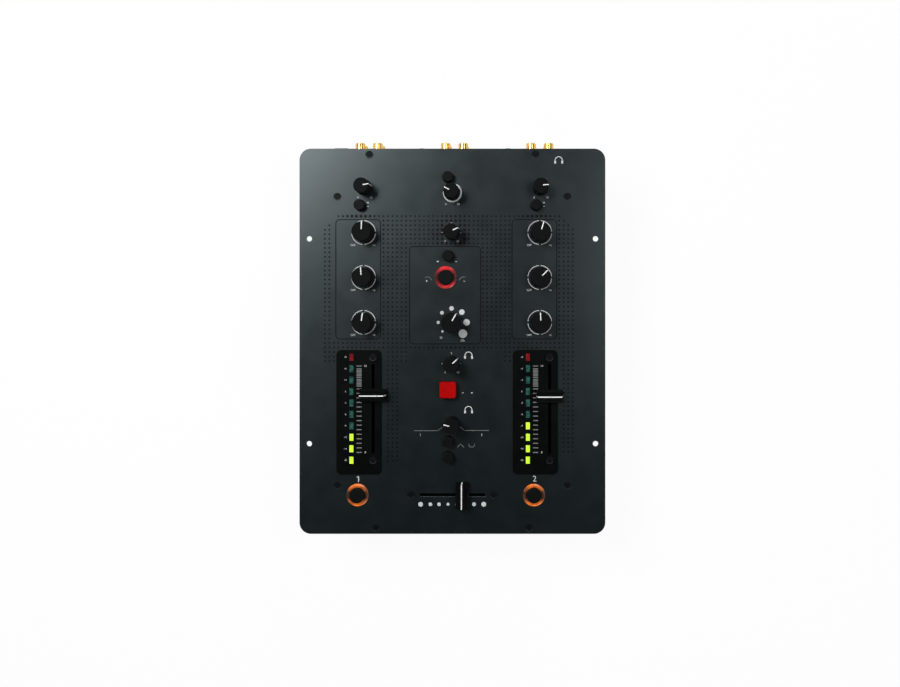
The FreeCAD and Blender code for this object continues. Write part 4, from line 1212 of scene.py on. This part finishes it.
@dataclass
class PanelPrint:
    """The prints on the panel and the fader plates. Places are millimetres from the panel's middle."""

    frame: Frame
    channel_step: float = 146.35
    figure: float = 1.7
    level_figure: float = 1.3
    channel_figure: float = 4.8
    channel_line: float = 0.75
    box_corner: float = 3.5
    box_line: float = 0.8
    tick_line: float = 0.45
    fine_line: float = 0.35
    cue_line: float = 0.4
    # The width of the painted highlight on the crossfader slot's lip.
    lip_highlight: float = 0.12
    scale_line: float = 0.75
    dense_line: float = 0.70
    sign_raised: float = 1.0
    sign_flat: float = 0.5
    equaliser_ring: Point = (9.6, 10.2)
    equaliser_shift: float = 0.6
    master_ring: Point = (6.9, 7.9)
    frequency_reach: float = 9.7
    frequency_start: float = 225.0
    frequency_step: float = 45.0

    def build(self) -> None:
        """Print the panel and the plates."""
        middle, top = self.frame.middle("top_panel"), self.frame.top("top_panel")
        panel = Vector((middle.x, middle.y, top))
        plate = Vector((middle.x, middle.y, self.frame.top("fader_plate_left")))
        dark = Ink("print_dark", DARK_INK_AND_SHADE, panel)
        white = Ink("print_white", WHITE_INK, panel)
        grey = Ink("print_grey_and_highlight", GREY_INK_AND_HIGHLIGHT, panel)
        plate_white = Ink("print_plates", WHITE_INK, plate)
        plate_grey = Ink("print_scales", GREY_INK_AND_HIGHLIGHT, plate)
        DotField(self.frame, dark).build()
        self.print_boxes(dark)
        self.print_dials(white)
        self.print_filter(white)
        self.print_middle(white)
        self.print_curves(grey)
        self.print_scales(plate_white, plate_grey)
        for ink in (dark, white, grey, plate_white, plate_grey):
            ink.press()

    def place(self, ink: Ink, knob: str) -> Point:
        """Where a knob's axis stands on a print.

        Args:
            ink: The print.
            knob: The knob.

        Returns:
            The place, in millimetres from the panel's middle.
        """
        axis = (self.frame.axis(knob) - ink.origin) / MM
        return axis.x, axis.y

    def print_boxes(self, ink: Ink) -> None:
        """Print the dark outlines round the equalisers and the filter.

        Args:
            ink: The print.
        """
        for shift in (0.0, self.channel_step):
            ink.outline((-97.2 + shift, 1.5), (-59.3 + shift, 101.4), self.box_corner, self.box_line)
        ink.outline((-36.0, -2.6), (23.7, 79.1), self.box_corner, self.box_line)

    def print_ends(self, ink: Ink, centre: Point, figures: tuple[str, str], spans: Point,
                   down: float) -> None:
        """Print the figures at both ends of a knob's range.

        Args:
            ink: The print.
            centre: The middle of the dial.
            figures: What is printed at the left and at the right.
            spans: How far left and right of the middle they stand.
            down: How far below the middle they stand.
        """
        left, right = spans
        ink.numeral(figures[0], centre[0] - left, centre[1] - down, self.figure)
        ink.numeral(figures[1], centre[0] + right, centre[1] - down, self.figure)

    def print_dials(self, ink: Ink) -> None:
        """Print the rings and figures round the knobs.

        Args:
            ink: The print.
        """
        for side in ("left", "right"):
            for band in ("high", "mid", "low"):
                x, y = self.place(ink, f"knob_{band}_{side}")
                ink.ring(x - self.equaliser_shift, y, *self.equaliser_ring, lambda angle: 4 < angle % 90 < 86)
                self.print_ends(ink, (x, y), ("OFF", "+6"), (9.4, 8.0), 10.6)
            self.print_ends(ink, self.place(ink, f"knob_level_{side}"), ("0", "10"), (5.3, 5.5), 8.2)
        x, y = self.place(ink, "knob_master")
        ink.ring(x, y, *self.master_ring, lambda angle: 22 < angle < 296, lean=(-0.3, 0.2))
        self.print_ends(ink, (x, y), ("0", "10"), (5.5, 4.8), 9.6)
        for knob in ("knob_monitor", "knob_phones_level"):
            x, y = self.place(ink, knob)
            middle = x - 0.9
            ink.numeral("5", middle, y + 8.6, self.figure)
            self.print_ends(ink, (middle, y), ("0", "10"), (5.2, 5.2), 7.3)
            for hand in (-1, 1):
                ink.bar((middle + hand * 7.3, y), (middle + hand * 8.0, y), self.tick_line)

    def print_filter(self, ink: Ink) -> None:
        """Print the growing dots of the frequency knob, and the filter's signs.

        Args:
            ink: The print.
        """
        x, y = self.place(ink, "knob_frequency")
        x = x - 0.7
        sizes = (1.0, 1.35, 1.55, 1.92, 2.32, 2.75, 3.6)
        for step, radius in enumerate(sizes):
            angle = math.radians(self.frequency_start + self.frequency_step * step)
            reach = self.frequency_reach + radius
            ink.dot(x + reach * math.sin(angle), y + reach * math.cos(angle), radius)
        ink.numeral("20", x - 8.8, y - 12.6, self.figure)
        ink.numeral("20k", x + 9.2, y - 15.2, self.figure)
        ink.bar((-12.6, 66.2), (-11.6, 66.2), self.sign_raised)
        ink.bar((2.4, 66.1), (3.7, 66.1), self.tick_line)
        ink.dot(-21.4, 50.0, 0.6)
        ink.bar((9.3, 49.9), (10.3, 49.9), self.tick_line)

    def print_curves(self, ink: Ink) -> None:
        """Print the filter's curves and the cue line, and a painted highlight on the crossfader slot's lip.

        Args:
            ink: The print.
        """
        ink.stroke([(-22.4, 53.3), (-19.0, 53.3), (-17.2, 50.9)], self.fine_line)
        ink.stroke([(5.6, 50.9), (7.5, 53.3), (10.8, 53.3)], self.fine_line)
        ink.stroke([(-31.6, -74.3), (-12.2, -74.3), (-8.9, -71.6)], self.cue_line)
        ink.stroke([(6.5, -71.3), (10.3, -74.1), (30.3, -74.1)], self.cue_line)
        ink.stroke([(4.0, -88.2), (6.7, -85.3), (9.6, -88.2)], self.fine_line)
        ink.stroke([(13.5, -85.3), (14.2, -87.8), (17.8, -87.8), (18.5, -85.3)], self.fine_line)
        # A painted highlight along the front lip of the crossfader's slot.
        ink.bar((-26.6, -129.1), (27.9, -129.1), self.lip_highlight)

    def print_middle(self, ink: Ink) -> None:
        """Print the signs of the cue section, the crossfader's dots and the channels' figures.

        Args:
            ink: The print.
        """
        for x, y in ((13.4, -11.25), (13.4, -56.5), (88.3, 150.9)):
            ink.ring(x, y - 0.6, 2.6, 3.3, lambda angle: angle < 92 or angle > 268)
            for side in (-1, 1):
                ink.bar((x + side * 2.9, y - 2.9), (x + side * 2.9, y - 1.2), 1.5)
        ink.bar((8.1, -42.9), (9.1, -42.9), self.sign_flat)
        ink.bar((15.7, -42.9), (16.5, -42.9), self.sign_raised)
        ink.numeral("1", -26.7, -77.8, self.figure)
        ink.numeral("2", 24.4, -77.8, self.figure)
        places = (-26.4, -18.3, -11.1, -3.6, 3.8, 10.9, 17.9, 26.0)
        sizes = (2.0, 1.55, 1.5, 1.25, 1.25, 1.4, 1.6, 2.0)
        for x, radius in zip(places, sizes):
            ink.dot(x, -135.4, radius)
        ink.stroke([(-79.3, -113.0), (-77.9, -112.2), (-77.9, -116.9)], self.channel_line)
        ink.numeral("2", -78.1 + self.channel_step, -114.4, self.channel_figure)
        for shift in (0.0, self.channel_step):
            ink.bar((-70.8 + shift, 115.1), (-69.8 + shift, 115.1), self.sign_raised)
            ink.bar((-71.0 + shift, 112.0), (-69.6 + shift, 112.0), self.sign_flat)

    def print_scales(self, white: Ink, grey: Ink) -> None:
        """Print the faders' scales and the figures of the meter lights.

        Args:
            white: The print of the figures.
            grey: The print of the scales.
        """
        levels = ("+9", "+6", "+3", "0", "-3", "-6", "-9", "-12", "-16", "-20")
        boxes = [box for group in ("peak", "idle", "lit")
                 for box in islands(self.frame.nodes[f"meter_lights_{group}"])]
        lights = [((low + high) / 2 - white.origin) / MM for low, high in boxes]
        ticks = [-20.5, -29.9, -39.5] + [-43.15 - 3.77 * step for step in range(14)]
        dense = [start - 1.15 * step for start in (-22.8, -31.5) for step in range(6)]
        for shift in (0.0, self.channel_step):
            left, right = -79.2 + shift, -75.4 + shift
            for y in ticks:
                grey.bar((left, y), (right, y), self.scale_line)
            for y in dense:
                grey.bar((left, y), (right, y), self.dense_line)
            white.numeral("10", right + 3.2, ticks[0], self.figure)
            white.numeral("0", right + 3.2, ticks[-1], self.figure)
            column = [place for place in lights if (place.x > 0) == (shift > 0)]
            for light, level in zip(sorted(column, key=lambda place: -place.y), levels):
                white.numeral(level, light.x - 5.0, light.y, self.level_figure)


@dataclass
class RearSockets:
    """The sockets, the supply inlet and the power rocker of the rear panel."""

    frame: Frame

    def build(self) -> None:
        """Dress the sockets, with white insulators in the upper row and red ones in the lower."""
        nodes = self.frame.nodes
        middle = self.frame.middle("rca_insulators").z
        insulator = StackedFinish("socket_insulator", (0.45, 0.02, 0.02), (0.5, 0.03, 0.03), 0.45,
                                  height=middle, upper=(0.72, 0.72, 0.70))
        dress(nodes, ["rca_insulators"], insulator)
        dress(nodes, ["rca_shells", "xlr_pins"], GOLD_PLATE)
        dress(nodes, ["xlr_shells"], PLATED_STEEL)
        dress(nodes, ["rca_blocks", "phone_jacks", "dc_inlet", "rocker_frame"], SOCKET_PLASTIC)
        dress(nodes, ["power_rocker"], BUTTON_PLASTIC)


def main() -> None:
    """Build every sub-assembly in order."""
    logging.basicConfig(level=logging.INFO, format="%(name)s: %(message)s")
    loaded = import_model()
    frame = Frame(loaded["nodes"], loaded["joints"])
    Studio(frame).build()
    Case(frame).build()
    Knobs(frame).build()
    Buttons(frame).build()
    Faders(frame).build()
    PanelPrint(frame).build()
    Screws(frame).build()
    RearSockets(frame).build()


if __name__ == "__main__":
    main()
